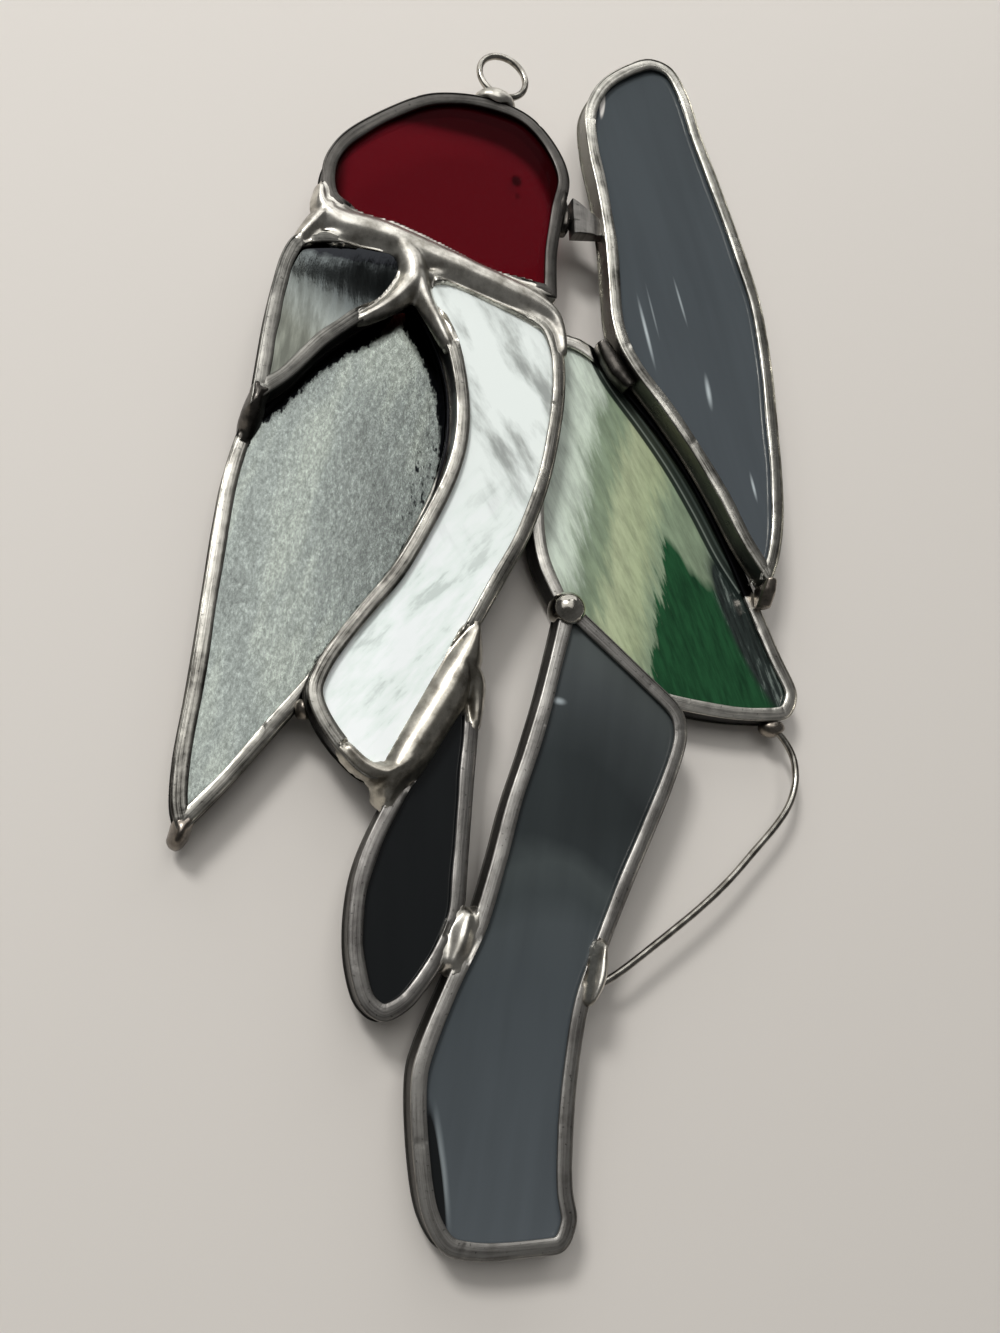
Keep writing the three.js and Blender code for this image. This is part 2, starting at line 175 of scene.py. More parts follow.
def backdropMaterial():
    # matt painted board: pale, and not there at all for whoever looks at the object from behind it
    material, tree = newMaterial("painted_board")
    board = addNode(tree, "ShaderNodeBsdfPrincipled", {"Base Color": linear(studio["backdrop"]),
                    "Roughness": studio["backdropRough"]})
    opening = addNode(tree, "ShaderNodeBsdfTransparent")
    side = addNode(tree, "ShaderNodeNewGeometry").outputs["Backfacing"]
    passed = addNode(tree, "ShaderNodeLightPath").outputs["Transparent Depth"]
    away = addNode(tree, "ShaderNodeMath", {0: side, 1: passed}, operation="ADD", use_clamp=True).outputs[0]
    mix = addNode(tree, "ShaderNodeMixShader", {"Fac": away, 1: board, 2: opening})
    finishMaterial(tree, mix)
    return material


def setStage():
    y = cadBox[1][1] + studio["backdropGap"]
    half = studio["backdropSize"] / 2
    low, high = -half - studio["backdropDrop"], half - studio["backdropDrop"]
    corners = [(-half, y, low), (half, y, low), (half, y, high), (-half, y, high)]
    mesh = bpy.data.meshes.new("backdrop")
    mesh.from_pydata(corners, [], [(0, 1, 2, 3)])
    mesh.materials.append(backdropMaterial())
    addObject("backdrop", mesh)
    world = bpy.data.worlds.new("studio")
    world.use_nodes = True
    world.node_tree.nodes["Background"].inputs["Color"].default_value = linear(studio["surround"])
    bpy.context.scene.world = world
    bpy.context.scene.view_settings.view_transform = "Standard"
    for name, lamp in softboxes.items():
        softbox(name, *lamp)


setCamera()
setStage()
print("camera, lights and backdrop set")

# every pane's outline is read from its packed lead strip, in millimetres: the spacing of its points, the
# turn in degrees that makes a corner, the longest loop taken out of an inset line, and how flat a lip is
outlining = {"step": 0.5, "corner": 32, "loop": 14, "flat": 0.02}


def mergedMesh(node):
    # a node's triangles with shared corners, in millimetres
    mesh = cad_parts[node].data
    points, index, known = [], [], {}
    for vertex in mesh.vertices:
        key = tuple(round(c / mm, 3) for c in vertex.co)
        if key not in known:
            known[key] = len(points)
            points.append(Vector(vertex.co) / mm)
        index.append(known[key])
    faces = [[index[i] for i in polygon.vertices] for polygon in mesh.polygons]
    return points, faces


def faceNormal(points, face):
    return (points[face[1]] - points[face[0]]).cross(points[face[2]] - points[face[0]])


def frontDirection(pane):
    # the way a pane faces: the direction of its largest flat face that looks at the viewer
    points, faces = mergedMesh(pane + "_glass")
    areas = {}
    for face in faces:
        normal = faceNormal(points, face)
        if normal.length and normal.y < 0:
            key = tuple(round(c, 3) for c in normal.normalized())
            areas[key] = areas.get(key, 0) + normal.length
    return Vector(max(areas, key=areas.get)).normalized()


def chained(edges):
    # closed loops of point numbers from directed edges
    after = dict(edges)
    loops = []
    while after:
        start, here = after.popitem()
        path = [start]
        while here != start:
            path.append(here)
            here = after.pop(here)
        loops.append(path)
    return loops


def paneFrame(pane):
    # a pane's axes, the level of its front lip, and its outer outline on that level
    normal = frontDirection(pane)
    right = Vector((1, 0, 0))
    up = normal.cross(right).normalized()
    points, faces = mergedMesh(pane + "_came")
    front = max(p.dot(normal) for p in points)
    flat = [f for f in faces if all(front - points[i].dot(normal) < outlining["flat"] for i in f)]
    edges = set((f[k], f[(k + 1) % len(f)]) for f in flat for k in range(len(f)))
    rim = [(a, b) for a, b in edges if (b, a) not in edges]
    outlines = [np.array([(points[i].dot(right), points[i].dot(up)) for i in loop]) for loop in chained(rim)]
    outer = max(outlines, key=lambda line: abs(signedArea(line)))
    if signedArea(outer) < 0:
        outer = outer[::-1]
    return {"name": pane, "right": right, "up": up, "normal": normal, "front": front, "outline": outer}


def signedArea(line):
    x, y = line[:, 0], line[:, 1]
    return 0.5 * float(np.sum(x * np.roll(y, -1) - np.roll(x, -1) * y))


def turnAngles(line):
    before = line - np.roll(line, 1, axis=0)
    after = np.roll(line, -1, axis=0) - line
    turn = np.arctan2(after[:, 1], after[:, 0]) - np.arctan2(before[:, 1], before[:, 0])
    return (turn + math.pi) % (2 * math.pi) - math.pi


def smoothLine(line):
    # a fine line through the outline's points, curved along its sides and sharp at its corners
    corners = list(np.nonzero(np.abs(turnAngles(line)) > math.radians(outlining["corner"]))[0])
    start = corners[0] if corners else 0
    line = np.roll(line, -start, axis=0)
    sharp = set((c - start) % len(line) for c in corners)
    fine = []
    count = len(line)
    for i in range(count):
        p1, p2 = line[i], line[(i + 1) % count]
        p0 = line[i - 1] if i not in sharp else 2 * p1 - p2
        p3 = line[(i + 2) % count] if (i + 1) % count not in sharp else 2 * p2 - p1
        knots = [0.0]
        for a, b in ((p0, p1), (p1, p2), (p2, p3)):
            knots.append(knots[-1] + math.sqrt(max(np.linalg.norm(b - a), 1e-6)))
        steps = max(1, round(np.linalg.norm(p2 - p1) / outlining["step"]))
        for k in range(steps):
            t = knots[1] + (knots[2] - knots[1]) * k / steps
            mix = lambda a, b, ta, tb: ((tb - t) * a + (t - ta) * b) / (tb - ta)
            a1, a2, a3 = mix(p0, p1, *knots[0:2]), mix(p1, p2, *knots[1:3]), mix(p2, p3, *knots[2:4])
            b1, b2 = mix(a1, a2, knots[0], knots[2]), mix(a2, a3, knots[1], knots[3])
            fine.append(mix(b1, b2, knots[1], knots[2]))
    return np.array(fine)


def insetLine(line, distance):
    # the line moved inwards. Where it would cross itself, the small loop's points gather where it crosses.
    tangent = np.roll(line, -1, axis=0) - line
    tangent /= np.linalg.norm(tangent, axis=1)[:, None]
    normalAfter = np.stack([-tangent[:, 1], tangent[:, 0]], axis=1)
    normalBefore = np.roll(normalAfter, 1, axis=0)
    mitre = normalAfter + normalBefore
    mitre /= np.linalg.norm(mitre, axis=1)[:, None]
    stretch = 1 / np.maximum(np.sum(mitre * normalAfter, axis=1), 0.25)
    distances = np.broadcast_to(distance, len(line))
    moved = line + mitre * (stretch * distances)[:, None]
    if np.max(distances) <= 0:
        return moved
    count = len(moved)
    reach = min(count // 3, int(outlining["loop"] / outlining["step"]))
    shift = count // 5 * 2  # the search starts two fifths along the line
    moved = np.roll(moved, -shift, axis=0)
    i = 0
    while i < count - 2:
        hit = None
        js = np.arange(i + 2, min(i + reach, count - 2) + 1)
        if len(js):
            a, d1 = moved[i], moved[i + 1] - moved[i]
            c, d2 = moved[js], moved[js + 1] - moved[js]
            cross = d1[0] * d2[:, 1] - d1[1] * d2[:, 0]
            cross = np.where(np.abs(cross) < 1e-12, 1e-12, cross)
            between = c - a
            s = (between[:, 0] * d2[:, 1] - between[:, 1] * d2[:, 0]) / cross
            t = (between[:, 0] * d1[1] - between[:, 1] * d1[0]) / cross
            found = np.nonzero((s >= 0) & (s <= 1) & (t >= 0) & (t <= 1))[0]
            if len(found):
                k = found[-1]
                hit = (int(js[k]), a + s[k] * d1)
        if hit:
            moved[i + 1:hit[0] + 1] = hit[1]
            i = hit[0]
        else:
            i += 1
    return np.roll(moved, shift, axis=0)


def place(pane, line, level):
    # points of a flat line at a level, back in the object's own space
    right, up, normal = pane["right"], pane["up"], pane["normal"]
    levels = np.broadcast_to(level, len(line))
    return [(right * u + up * v + normal * w) * mm for (u, v), w in zip(line, levels)]


def runLength(line):
    steps = np.linalg.norm(np.roll(line, -1, axis=0) - line, axis=1)
    return np.concatenate([[0], np.cumsum(steps)[:-1]])


panes = {name: paneFrame(name) for name in
         ("red_cap", "cheek", "wing", "breast", "tail", "leaf", "upper_trunk", "lower_trunk")}
for pane in panes.values():
    pane["line"] = smoothLine(pane["outline"])
print("outlines ready")

underMargin = 10  # added to the depth that markLeadShade keeps, so that it is never negative


def paintedLeadShade(tree, torn, noise=None):
    # 1 where a piece lies close under the leads in front of it: there go the painted shade and reflection of
    # their dark walls
    depth = addNode(tree, "ShaderNodeAttribute", attribute_name="under").outputs["Fac"]
    if torn:
        depth = addNode(tree, "ShaderNodeMath", {0: noise, 1: torn, 2: depth},
                        operation="MULTIPLY_ADD").outputs[0]
    edge = underMargin + torn / 2
    return addNode(tree, "ShaderNodeMapRange",
                   {"Value": depth, "From Min": edge - 0.2, "From Max": edge + 0.2},
                   interpolation_type="SMOOTHSTEP").outputs[0]


def milledLead(name, colour, bright, roughness, wall):
    # lead strip pressed by a mill's rollers: fine lengthwise lines catch the light. The side walls take a
    # flat colour of their own: dull patina, and painted light and shade as each wall is lit.
    material, tree = newMaterial(name)
    path = addNode(tree, "ShaderNodeUVMap", uv_map="strip").outputs[0]
    lines = addNode(tree, "ShaderNodeMapping", {"Vector": path, "Scale": (0.03, 1.7, 1)}).outputs[0]
    fine = addNode(tree, "ShaderNodeTexNoise", {"Vector": lines, "Scale": 1, "Detail": 4, "Roughness": 0.75})
    cloud = addNode(tree, "ShaderNodeTexNoise",
                    {"Vector": path, "Scale": 0.09, "Detail": 5, "Roughness": 0.65})
    speck = addNode(tree, "ShaderNodeTexNoise", {"Vector": path, "Scale": 1.1, "Detail": 3})
    both = addNode(tree, "ShaderNodeMath", {0: fine.outputs["Fac"], 1: cloud.outputs["Fac"]}, operation="ADD")
    half = addNode(tree, "ShaderNodeMath", {0: both, 1: 0.5}, operation="MULTIPLY")
    streaks = ramp(tree, half, [(0.4, colour), (0.57, bright)])
    pits = ramp(tree, speck.outputs["Fac"], [(0.3, 0.3), (0.36, 1.0)])
    base = addNode(tree, "ShaderNodeMix", {"Factor": 0.8, 6: streaks, 7: pits}, data_type="RGBA",
                   blend_type="MULTIPLY")
    across = addNode(tree, "ShaderNodeSeparateXYZ", {"Vector": path}).outputs["Y"]
    side = addNode(tree, "ShaderNodeMath", {0: across}, operation="ABSOLUTE").outputs[0]
    # the section's middle is the wall's middle, and the wall turns into a lip 2.6 mm away from it
    onWall = addNode(tree, "ShaderNodeMapRange",
                     {"Value": side, "From Min": 2.75, "From Max": 2.45}).outputs[0]
    # painted light and shade on the side walls: their colour is set per strip to how its walls are lit
    dressed = addNode(tree, "ShaderNodeMix", {"Factor": onWall, 6: base.outputs[2], 7: linear(wall)},
                      data_type="RGBA")
    # painted shade: the strip turns near black where it lies under the leads in front
    dressed = addNode(tree, "ShaderNodeMix", {"Factor": paintedLeadShade(tree, 0), 6: dressed.outputs[2],
                      7: linear("#0c0c0d")}, data_type="RGBA")
    rough = addNode(tree, "ShaderNodeMapRange",
                    {"Value": cloud.outputs["Fac"], "From Min": 0.3, "From Max": 0.7,
                    "To Min": roughness + 0.1, "To Max": roughness - 0.06})
    bump = addNode(tree, "ShaderNodeBump", {"Height": fine.outputs["Fac"], "Strength": 0.5,
                   "Distance": 0.12 * mm})
    dimple = addNode(tree, "ShaderNodeBump", {"Height": cloud.outputs["Fac"], "Strength": 0.4,
                     "Distance": 0.5 * mm, "Normal": bump})
    finishMaterial(tree, addNode(tree, "ShaderNodeBsdfPrincipled", {
        "Base Color": dressed.outputs[2], "Metallic": 1.0, "Roughness": rough,
        "Normal": dimple}))
    return material


def pouredSolder(name, colour, bright, roughness):
    # tin-lead solder that froze as it flowed: bright, with soft ripples and darker flux stains
    material, tree = newMaterial(name)
    at = millimetres(tree)
    cloud = addNode(tree, "ShaderNodeTexNoise", {"Vector": at, "Scale": 0.22, "Detail": 5, "Roughness": 0.6})
    ripple = addNode(tree, "ShaderNodeTexNoise", {"Vector": at, "Scale": 0.7, "Detail": 3, "Roughness": 0.5})
    grit = addNode(tree, "ShaderNodeTexNoise", {"Vector": at, "Scale": 4.0, "Detail": 2})
    base = ramp(tree, cloud.outputs["Fac"], [(0.36, colour), (0.6, bright)])
    stain = ramp(tree, grit.outputs["Fac"], [(0.30, 0.5), (0.38, 1.0)])
    mixed = addNode(tree, "ShaderNodeMix", {"Factor": 0.5, 6: base, 7: stain}, data_type="RGBA",
                    blend_type="MULTIPLY")
    rough = addNode(tree, "ShaderNodeMapRange",
                    {"Value": cloud.outputs["Fac"], "From Min": 0.3, "From Max": 0.7,
                    "To Min": roughness + 0.12, "To Max": roughness})
    bump = addNode(tree, "ShaderNodeBump", {"Height": ripple.outputs["Fac"], "Strength": 0.1,
                   "Distance": 0.3 * mm})
    fineBump = addNode(tree, "ShaderNodeBump",
                       {"Height": grit.outputs["Fac"], "Strength": 0.06, "Distance": 0.06 * mm,
                       "Normal": bump})
    finishMaterial(tree, addNode(tree, "ShaderNodeBsdfPrincipled", {
        "Base Color": mixed.outputs[2], "Metallic": 1.0, "Roughness": rough,
        "Normal": fineBump}))
    return material


def millimetres(tree, scale=(1, 1, 1), turn=0):
    # the object's own place in millimetres. A pattern is stretched by 1 / scale, its length turned about y.
    at = addNode(tree, "ShaderNodeTexCoord")
    size = tuple(mm / s for s in scale)
    return addNode(tree, "ShaderNodeMapping", {"Vector": at.outputs["Object"], "Scale": size,
                   "Rotation": (0, math.radians(turn), 0)}, vector_type="TEXTURE").outputs[0]


def soften(low, high, value):
    # 0 below low, 1 above high, eased between
    t = np.clip((value - low) / (high - low), 0, 1)
    return t * t * (3 - 2 * t)


def smoothMax(a, b, blend):
    # the greater of two levels, with a fillet where they meet
    share = np.clip(0.5 + 0.5 * (a - b) / blend, 0, 1)
    return b + (a - b) * share + blend * share * (1 - share)


def depthInside(pane, x, z):
    # how far inside a pane's outline points lie, negative outside, and the pane's front level there
    normal, up = pane["normal"], pane["up"]
    y = (pane["front"] - x * normal.x - z * normal.z) / normal.y
    points = np.stack([x, x * up.x + y * up.y + z * up.z], axis=1)
    a = pane["line"][::2]
    b = np.roll(a, -1, axis=0)
    away = np.full(len(points), 1e9)
    crossings = np.zeros(len(points), int)
    for (ax, ay), (bx, by) in zip(a, b):
        side = np.array([bx - ax, by - ay])
        fromX, fromY = points[:, 0] - ax, points[:, 1] - ay
        along = np.clip((fromX * side[0] + fromY * side[1]) / max(side @ side, 1e-9), 0, 1)
        away = np.minimum(away, np.hypot(fromX - along * side[0], fromY - along * side[1]))
        if by != ay:
            level = (ay > points[:, 1]) != (by > points[:, 1])
            crossings += level & (points[:, 0] < ax + fromY * (bx - ax) / (by - ay))
    return np.where(crossings % 2 == 1, away, -away), -y


# the panes that stand in front of others, and how far the painted shade and reflection of their dark walls
# reach in the glass behind, in x and z
standingOver = {"wing": (("cheek", "breast"), (1.9, 4.9)), "leaf": (("upper_trunk", "breast"), (3.9, 2.2))}


def markLeadShade(piece, name):
    # keeps on each point how far it lies inside the shade of the leads in front, for their painted shade and
    # reflection
    if name not in standingOver:
        return
    places = np.zeros(len(piece.data.vertices) * 3)
    piece.data.vertices.foreach_get("co", places)
    places = places.reshape(-1, 3) / mm
    deep = np.full(len(places), -float(underMargin))
    fronts, (shiftX, shiftZ) = standingOver[name]
    for share in (0, 0.35, 0.7, 1):
        for front in fronts:
            inside = depthInside(panes[front], places[:, 0] + shiftX * share,
                                 places[:, 2] + shiftZ * share)[0]
            deep = np.maximum(deep, inside)
    layer = piece.data.attributes.new("under", "FLOAT", "POINT")
    layer.data.foreach_set("value", np.clip(deep, -underMargin, underMargin) + underMargin)


# how solder lies: the grid it is drawn on, how steeply a run falls beside its crown, the fillet where it
# meets a strip, how far the strips' inner lips sink under it, its thickness, the spacing of a run's samples
# and how many half widths out it still counts. Lumps have a voxel, a swelling and rounds of smoothing.
solder = {"grid": 0.28, "drop": 2.7, "fillet": 0.9, "pressed": 2.2, "thick": 2.2, "step": 0.2, "widest": 1.7,
          "voxel": 0.26, "swell": 0.3, "melt": 14, "meltShare": 0.6, "hardEdge": 70}
# what each seam joins, its metal, the lowest level it reaches, and its runs. A run's points give
# x, z, width and the level of its crown in front of the panes' middle.
pours = {
    "solder_head_seam": {"joins": ("red_cap", "cheek", "breast"), "metal": "bright", "floor": 0.6, "runs": [
        [(-45, -45.6, 2.6, 3.6), (-44.6, -50, 4.6, 4.1), (-41.5, -53, 7.4, 4.3), (-36.5, -53.8, 8.2, 4.4),
         (-31, -54.2, 7.8, 4.4), (-26, -55.4, 7.8, 4.4), (-21, -57, 8, 4.5), (-15, -58.6, 7.8, 4.5),
         (-8, -60.6, 7.6, 4.4), (-1, -62.7, 7.4, 4.4), (5, -64.6, 7, 4.3), (9.3, -67.2, 5.6, 4.0),
         (11.2, -71.5, 4, 3.6), (11.6, -76, 3, 3.2)],
        [(-43, -50.5, 4.6, 4.0), (-45.6, -54.4, 4.8, 3.9), (-48.6, -58.4, 3.6, 3.5)],
        [(-27, -55.6, 6, 4.3), (-24, -59.8, 7.4, 4.4), (-23.6, -64, 7, 4.3), (-26.4, -68.4, 5.4, 4.0),
         (-31, -73.2, 4.0, 3.6), (-35, -76.4, 3.0, 3.2)],
        [(-23, -63, 5.8, 4.2), (-21.4, -68.2, 5.0, 3.9), (-18.4, -74.6, 3.8, 3.5), (-16.4, -79, 3.0, 3.2)]]},
    "solder_belly_seam": {"joins": ("breast", "tail"), "metal": "warm", "floor": -5.0, "runs": [
        [(-11.2, -145.4, 3.2, 3.5), (-13.2, -150.4, 6.4, 4.0), (-16.5, -157.0, 8.0, 4.1),
         (-21.2, -164.8, 8.0, 4.1), (-25.8, -171.8, 7.4, 4.0), (-28.6, -176.2, 5.6, 3.2),
         (-29.6, -179.6, 3.8, 1.6)],
        [(-25.4, -172.6, 5.4, 4.0), (-30, -175.6, 4.6, 3.8), (-34, -174.2, 3.8, 3.5),
         (-37.6, -171, 3.0, 3.2)],
        [(-13.6, -152.4, 5.6, 3.6), (-11.2, -155.2, 5.0, 2.2), (-10.6, -159.6, 4.0, 1.0),
         (-10.7, -164, 3.0, 0.4)]]},
    "solder_tail_joint": {"joins": ("tail", "lower_trunk"), "metal": "bright", "floor": -4.6, "runs": [
        [(-13.6, -202.6, 3.6, 0.9), (-14.4, -205, 4.8, 1.5), (-15.4, -207.8, 4.8, 1.5),
         (-16.8, -210.8, 3.8, 0.9)]]},
    "solder_twig_trunk": {"joins": ("lower_trunk",), "metal": "bright", "floor": -3.6, "runs": [
        [(14.0, -208.6, 2.2, 3.0), (13.4, -211, 3.0, 3.4), (12.9, -213.8, 3.6, 3.6), (12.0, -216.4, 3.2, 3.4),
         (10.9, -218.8, 2.2, 2.8)]]},
    "solder_cheek_tip": {"joins": ("cheek", "wing"), "metal": "dark", "floor": -6.5, "runs": [
        [(-56.6, -97.6, 2.6, 3.2), (-57.3, -100.6, 3.6, 3.0), (-57.8, -103.2, 3.6, 0.4),
         (-58.2, -105.4, 2.8, -2.6)]]},
    "solder_wing_tip": {"joins": ("wing",), "metal": "dull", "floor": -7.5, "runs": [
        [(-66.4, -185.2, 1.8, -3.0), (-67.4, -187.2, 3.2, -2.8), (-67.9, -188.4, 3.0, -3.4)]]},
    "solder_beak": {"joins": ("red_cap",), "metal": "dark", "floor": -2, "runs": [
        [(13.9, -33.4, 2.0, 2.2), (14.7, -37, 3.4, 2.4), (14.5, -40.8, 2.2, 2.0)]]},
}


def runSamples(route):
    # close samples along a run: x, z, half width and crown level, eased between the given points
    knots = np.array(route, float)
    steps = np.linalg.norm(np.diff(knots[:, :2], axis=0), axis=1)
    length = np.concatenate([[0], np.cumsum(steps)])
    fine = np.arange(0, length[-1], solder["step"])
    columns = []
    for column in knots.T:
        slope = np.gradient(column, length)
        k = np.clip(np.searchsorted(length, fine, side="right") - 1, 0, len(length) - 2)
        span = length[k + 1] - length[k]
        t = (fine - length[k]) / span
        columns.append((2 * t**3 - 3 * t**2 + 1) * column[k] + (t**3 - 2 * t**2 + t) * span * slope[k]
                       + (3 * t**2 - 2 * t**3) * column[k + 1] + (t**3 - t**2) * span * slope[k + 1])
    x, z, width, top = columns
    return np.stack([x, z, np.maximum(width, 1) / 2, top], axis=1)


def reachOf(samples, x, z):
    # how many half widths each point lies away from a seam's runs, and the level of the nearest crown
    reach = np.full(len(x), 1e9)
    crown = np.zeros(len(x))
    for sampleX, sampleZ, half, top in samples:
        away = np.hypot(x - sampleX, z - sampleZ) / half
        better = away < reach
        reach[better] = away[better]
        crown[better] = top
    return reach, crown


seamSamples = {name: np.concatenate([runSamples(run) for run in pour["runs"]])
               for name, pour in pours.items()}

# a lead strip's section, the waver of its lips, and a dent about every dentSpacing along it
strip = {"lip": 3.1, "wall": 0.9, "lipThick": 0.8, "bend": 0.4, "wobble": 0.12, "dentSpacing": 16,
         "dentDeep": 0.22, "hardEdge": 40}


def stripProfile(depth):
    # the U section, back to front: distance inwards, level from the back, share of the lip's wobble
    lip, wall, thick, bend = (strip[k] for k in ("lip", "wall", "lipThick", "bend"))
    arc = [(bend * (1 - math.sin(a)), bend * (1 - math.cos(a)), 0) for a in np.radians((85, 60, 30, 5))]
    tip = [(lip * 0.35, -0.01, 0), (lip * 0.7, -0.02, 0.3), (lip - 0.22, 0.03, 1), (lip - 0.05, 0.16, 1),
           (lip, 0.36, 1), (lip - 0.06, thick - 0.08, 1), (lip - 0.3, thick, 1), (wall, thick, 0)]
    frontHalf = arc[::-1] + tip
    backHalf = [(d, w, share) for d, w, share in reversed(frontHalf)]
    return backHalf + [(d, depth - w, share) for d, w, share in frontHalf]


def leadStrip(pane, material, seed):
    # the strip bent around a pane: its section carried along the outline, mitred where it turns sharply
    line = pane["line"]
    low = min(p.dot(pane["normal"]) for p in mergedMesh(pane["name"] + "_came")[0])
    depth = pane["front"] - low
    rng = np.random.default_rng(seed)
    length = runLength(line)
    total = length[-1] + np.linalg.norm(line[0] - line[-1])
    waves = sum(np.sin(2 * math.pi * length / total * k + rng.uniform(0, 6.3)) * rng.uniform(0.4, 1)
                for k in (5, 9, 14))
    waves *= strip["wobble"] / 1.6
    dents = [(rng.uniform(0, total), rng.uniform(0.35, 1.2), rng.uniform(0.3, 1),
             rng.choice(["lip", "edge", "face"]))
             for i in range(int(total / strip["dentSpacing"]))]
    zones = {"lip": lambda d: d > 2.4, "edge": lambda d: d < 0.5, "face": lambda d: 0.5 <= d <= 2.6}
    rows, across = [], [0.0]
    profile = stripProfile(depth)
    for i, (d, w, share) in enumerate(profile):
        level = np.full(len(line), pane["front"] - depth + w)
        if w > depth / 2:
            level += 0.05 * waves / strip["wobble"] * min(1, d)
            for centre, width, deep, zone in dents:
                if zones[zone](d):
                    apart = np.minimum(np.abs(length - centre), total - np.abs(length - centre))
                    level -= strip["dentDeep"] * deep * np.exp(-(apart / width) ** 2)
        rows.append(place(pane, insetLine(line, d + waves * share), level))
        if i:
            across.append(across[-1] + math.hypot(d - profile[i - 1][0], w - profile[i - 1][1]))
    count, ringCount = len(line), len(rows)
    points = np.array([p for row in rows for p in row], float)
    frontHalf = np.arange(len(points)) >= len(points) // 2
    inwards = np.repeat([d for d, w, share in profile], len(line))
    for name, pour in pours.items():
        if pane["name"] in pour["joins"]:
            reach = reachOf(seamSamples[name], points[:, 0] / mm, points[:, 2] / mm)[0]
            pressed = solder["pressed"] * soften(1.2, strip["lip"], inwards)
            sunk = pressed * soften(1.35, 0.95, reach) + 0.2 * soften(1.3, 0.9, reach)
            points[:, 1] += frontHalf * sunk * mm
    faces = []
    for r in range(ringCount):
        here, there = r * count, ((r + 1) % ringCount) * count
        faces += [(here + i, here + (i + 1) % count, there + (i + 1) % count, there + i)
                  for i in range(count)]
    piece = newPiece(pane["name"] + "_lead_strip", points, faces, material)
    layer = piece.data.uv_layers.new(name="strip")
    uv = np.zeros((len(piece.data.loops), 2))
    index = np.zeros(len(piece.data.loops), int)
    piece.data.loops.foreach_get("vertex_index", index)
    uv[:, 0] = length[index % count] + seed * 37.0
    uv[:, 1] = (np.array(across) - across[-1] / 2)[index // count]
    layer.data.foreach_set("uv", uv.ravel())
    sharpen(piece, strip["hardEdge"])
    markLeadShade(piece, pane["name"])
    seat(piece, pane["name"] + "_came")


def sharpen(piece, degrees):
    # shade smooth, with faces that lie on no area taken out and hard edges kept
    mesh = bmesh.new()
    mesh.from_mesh(piece.data)
    bmesh.ops.dissolve_degenerate(mesh, dist=0.004 * mm, edges=mesh.edges)
    bmesh.ops.recalc_face_normals(mesh, faces=mesh.faces)
    for edge in mesh.edges:
        edge.smooth = len(edge.link_faces) < 2 or edge.calc_face_angle(0) < math.radians(degrees)
    for face in mesh.faces:
        face.smooth = True
    mesh.to_mesh(piece.data)
    mesh.free()


# each finish's darker and brighter colour, its roughness and the colour of its side walls. The finishes are
# copies of one lead, lighter or darker as each strip is lit: partly patina, partly painted light and shade.
leads = {
    "satin": milledLead("milled_lead_patinated", "#3b3936", "#5d5a56", 0.4, "#3a3937"),
    "dark": milledLead("milled_lead_dark", "#5b5855", "#95928d", 0.4, "#4a4845"),
    "plain": milledLead("milled_lead_plain", "#6f6c68", "#adaaa4", 0.46, "#4a4845"),
    "gray": milledLead("milled_lead_gray", "#83807a", "#e4e0d6", 0.36, "#2c2b2a"),
    "streaked": milledLead("milled_lead_rubbed", "#3b3a37", "#7f7d77", 0.44, "#2a2928"),
    "bright": milledLead("milled_lead_tinned", "#3a3834", "#aeaba2", 0.3, "#232221"),
    "open": milledLead("milled_lead_tinned_pale", "#45433e", "#cbc8be", 0.28, "#7b7973"),
}
stripLook = {"red_cap": "satin", "cheek": "streaked", "wing": "bright", "breast": "bright", "tail": "dark",
             "leaf": "gray", "upper_trunk": "open", "lower_trunk": "plain"}
for seed, (name, look) in enumerate(stripLook.items()):
    leadStrip(panes[name], leads[look], seed + 1)
print("lead strips bent")

# a sheet's thickness, how far its face lies behind its strip's front, and how far inside its edge lies
sheet = {"thick": 3.0, "frontLip": 1.3, "play": 1.3, "hardEdge": 40}


def groupInput(group, name, kind, value):
    socket = group.interface.new_socket(name, in_out="INPUT", socket_type=kind)
    if value is not None:
        socket.default_value = value
    return socket


def evaluatedMesh(piece):
    # the shape that a piece's modifiers make, as a plain mesh, with the modifiers taken off again
    bpy.context.view_layer.update()
    evaluated = piece.evaluated_get(bpy.context.evaluated_depsgraph_get())
    mesh = bpy.data.meshes.new_from_object(evaluated)
    mesh.name = piece.name
    piece.modifiers.clear()
    return mesh


def grow(piece, group, values):
    # run a geometry node tree on a piece, its inputs set by socket, and give back the result as a plain mesh
    modifier = piece.modifiers.new(group.name, "NODES")
    modifier.node_group = group
    for item in group.interface.items_tree:
        if item.item_type == "SOCKET" and item.in_out == "INPUT" and item.name in values:
            modifier[item.identifier] = values[item.name]
    return evaluatedMesh(piece)


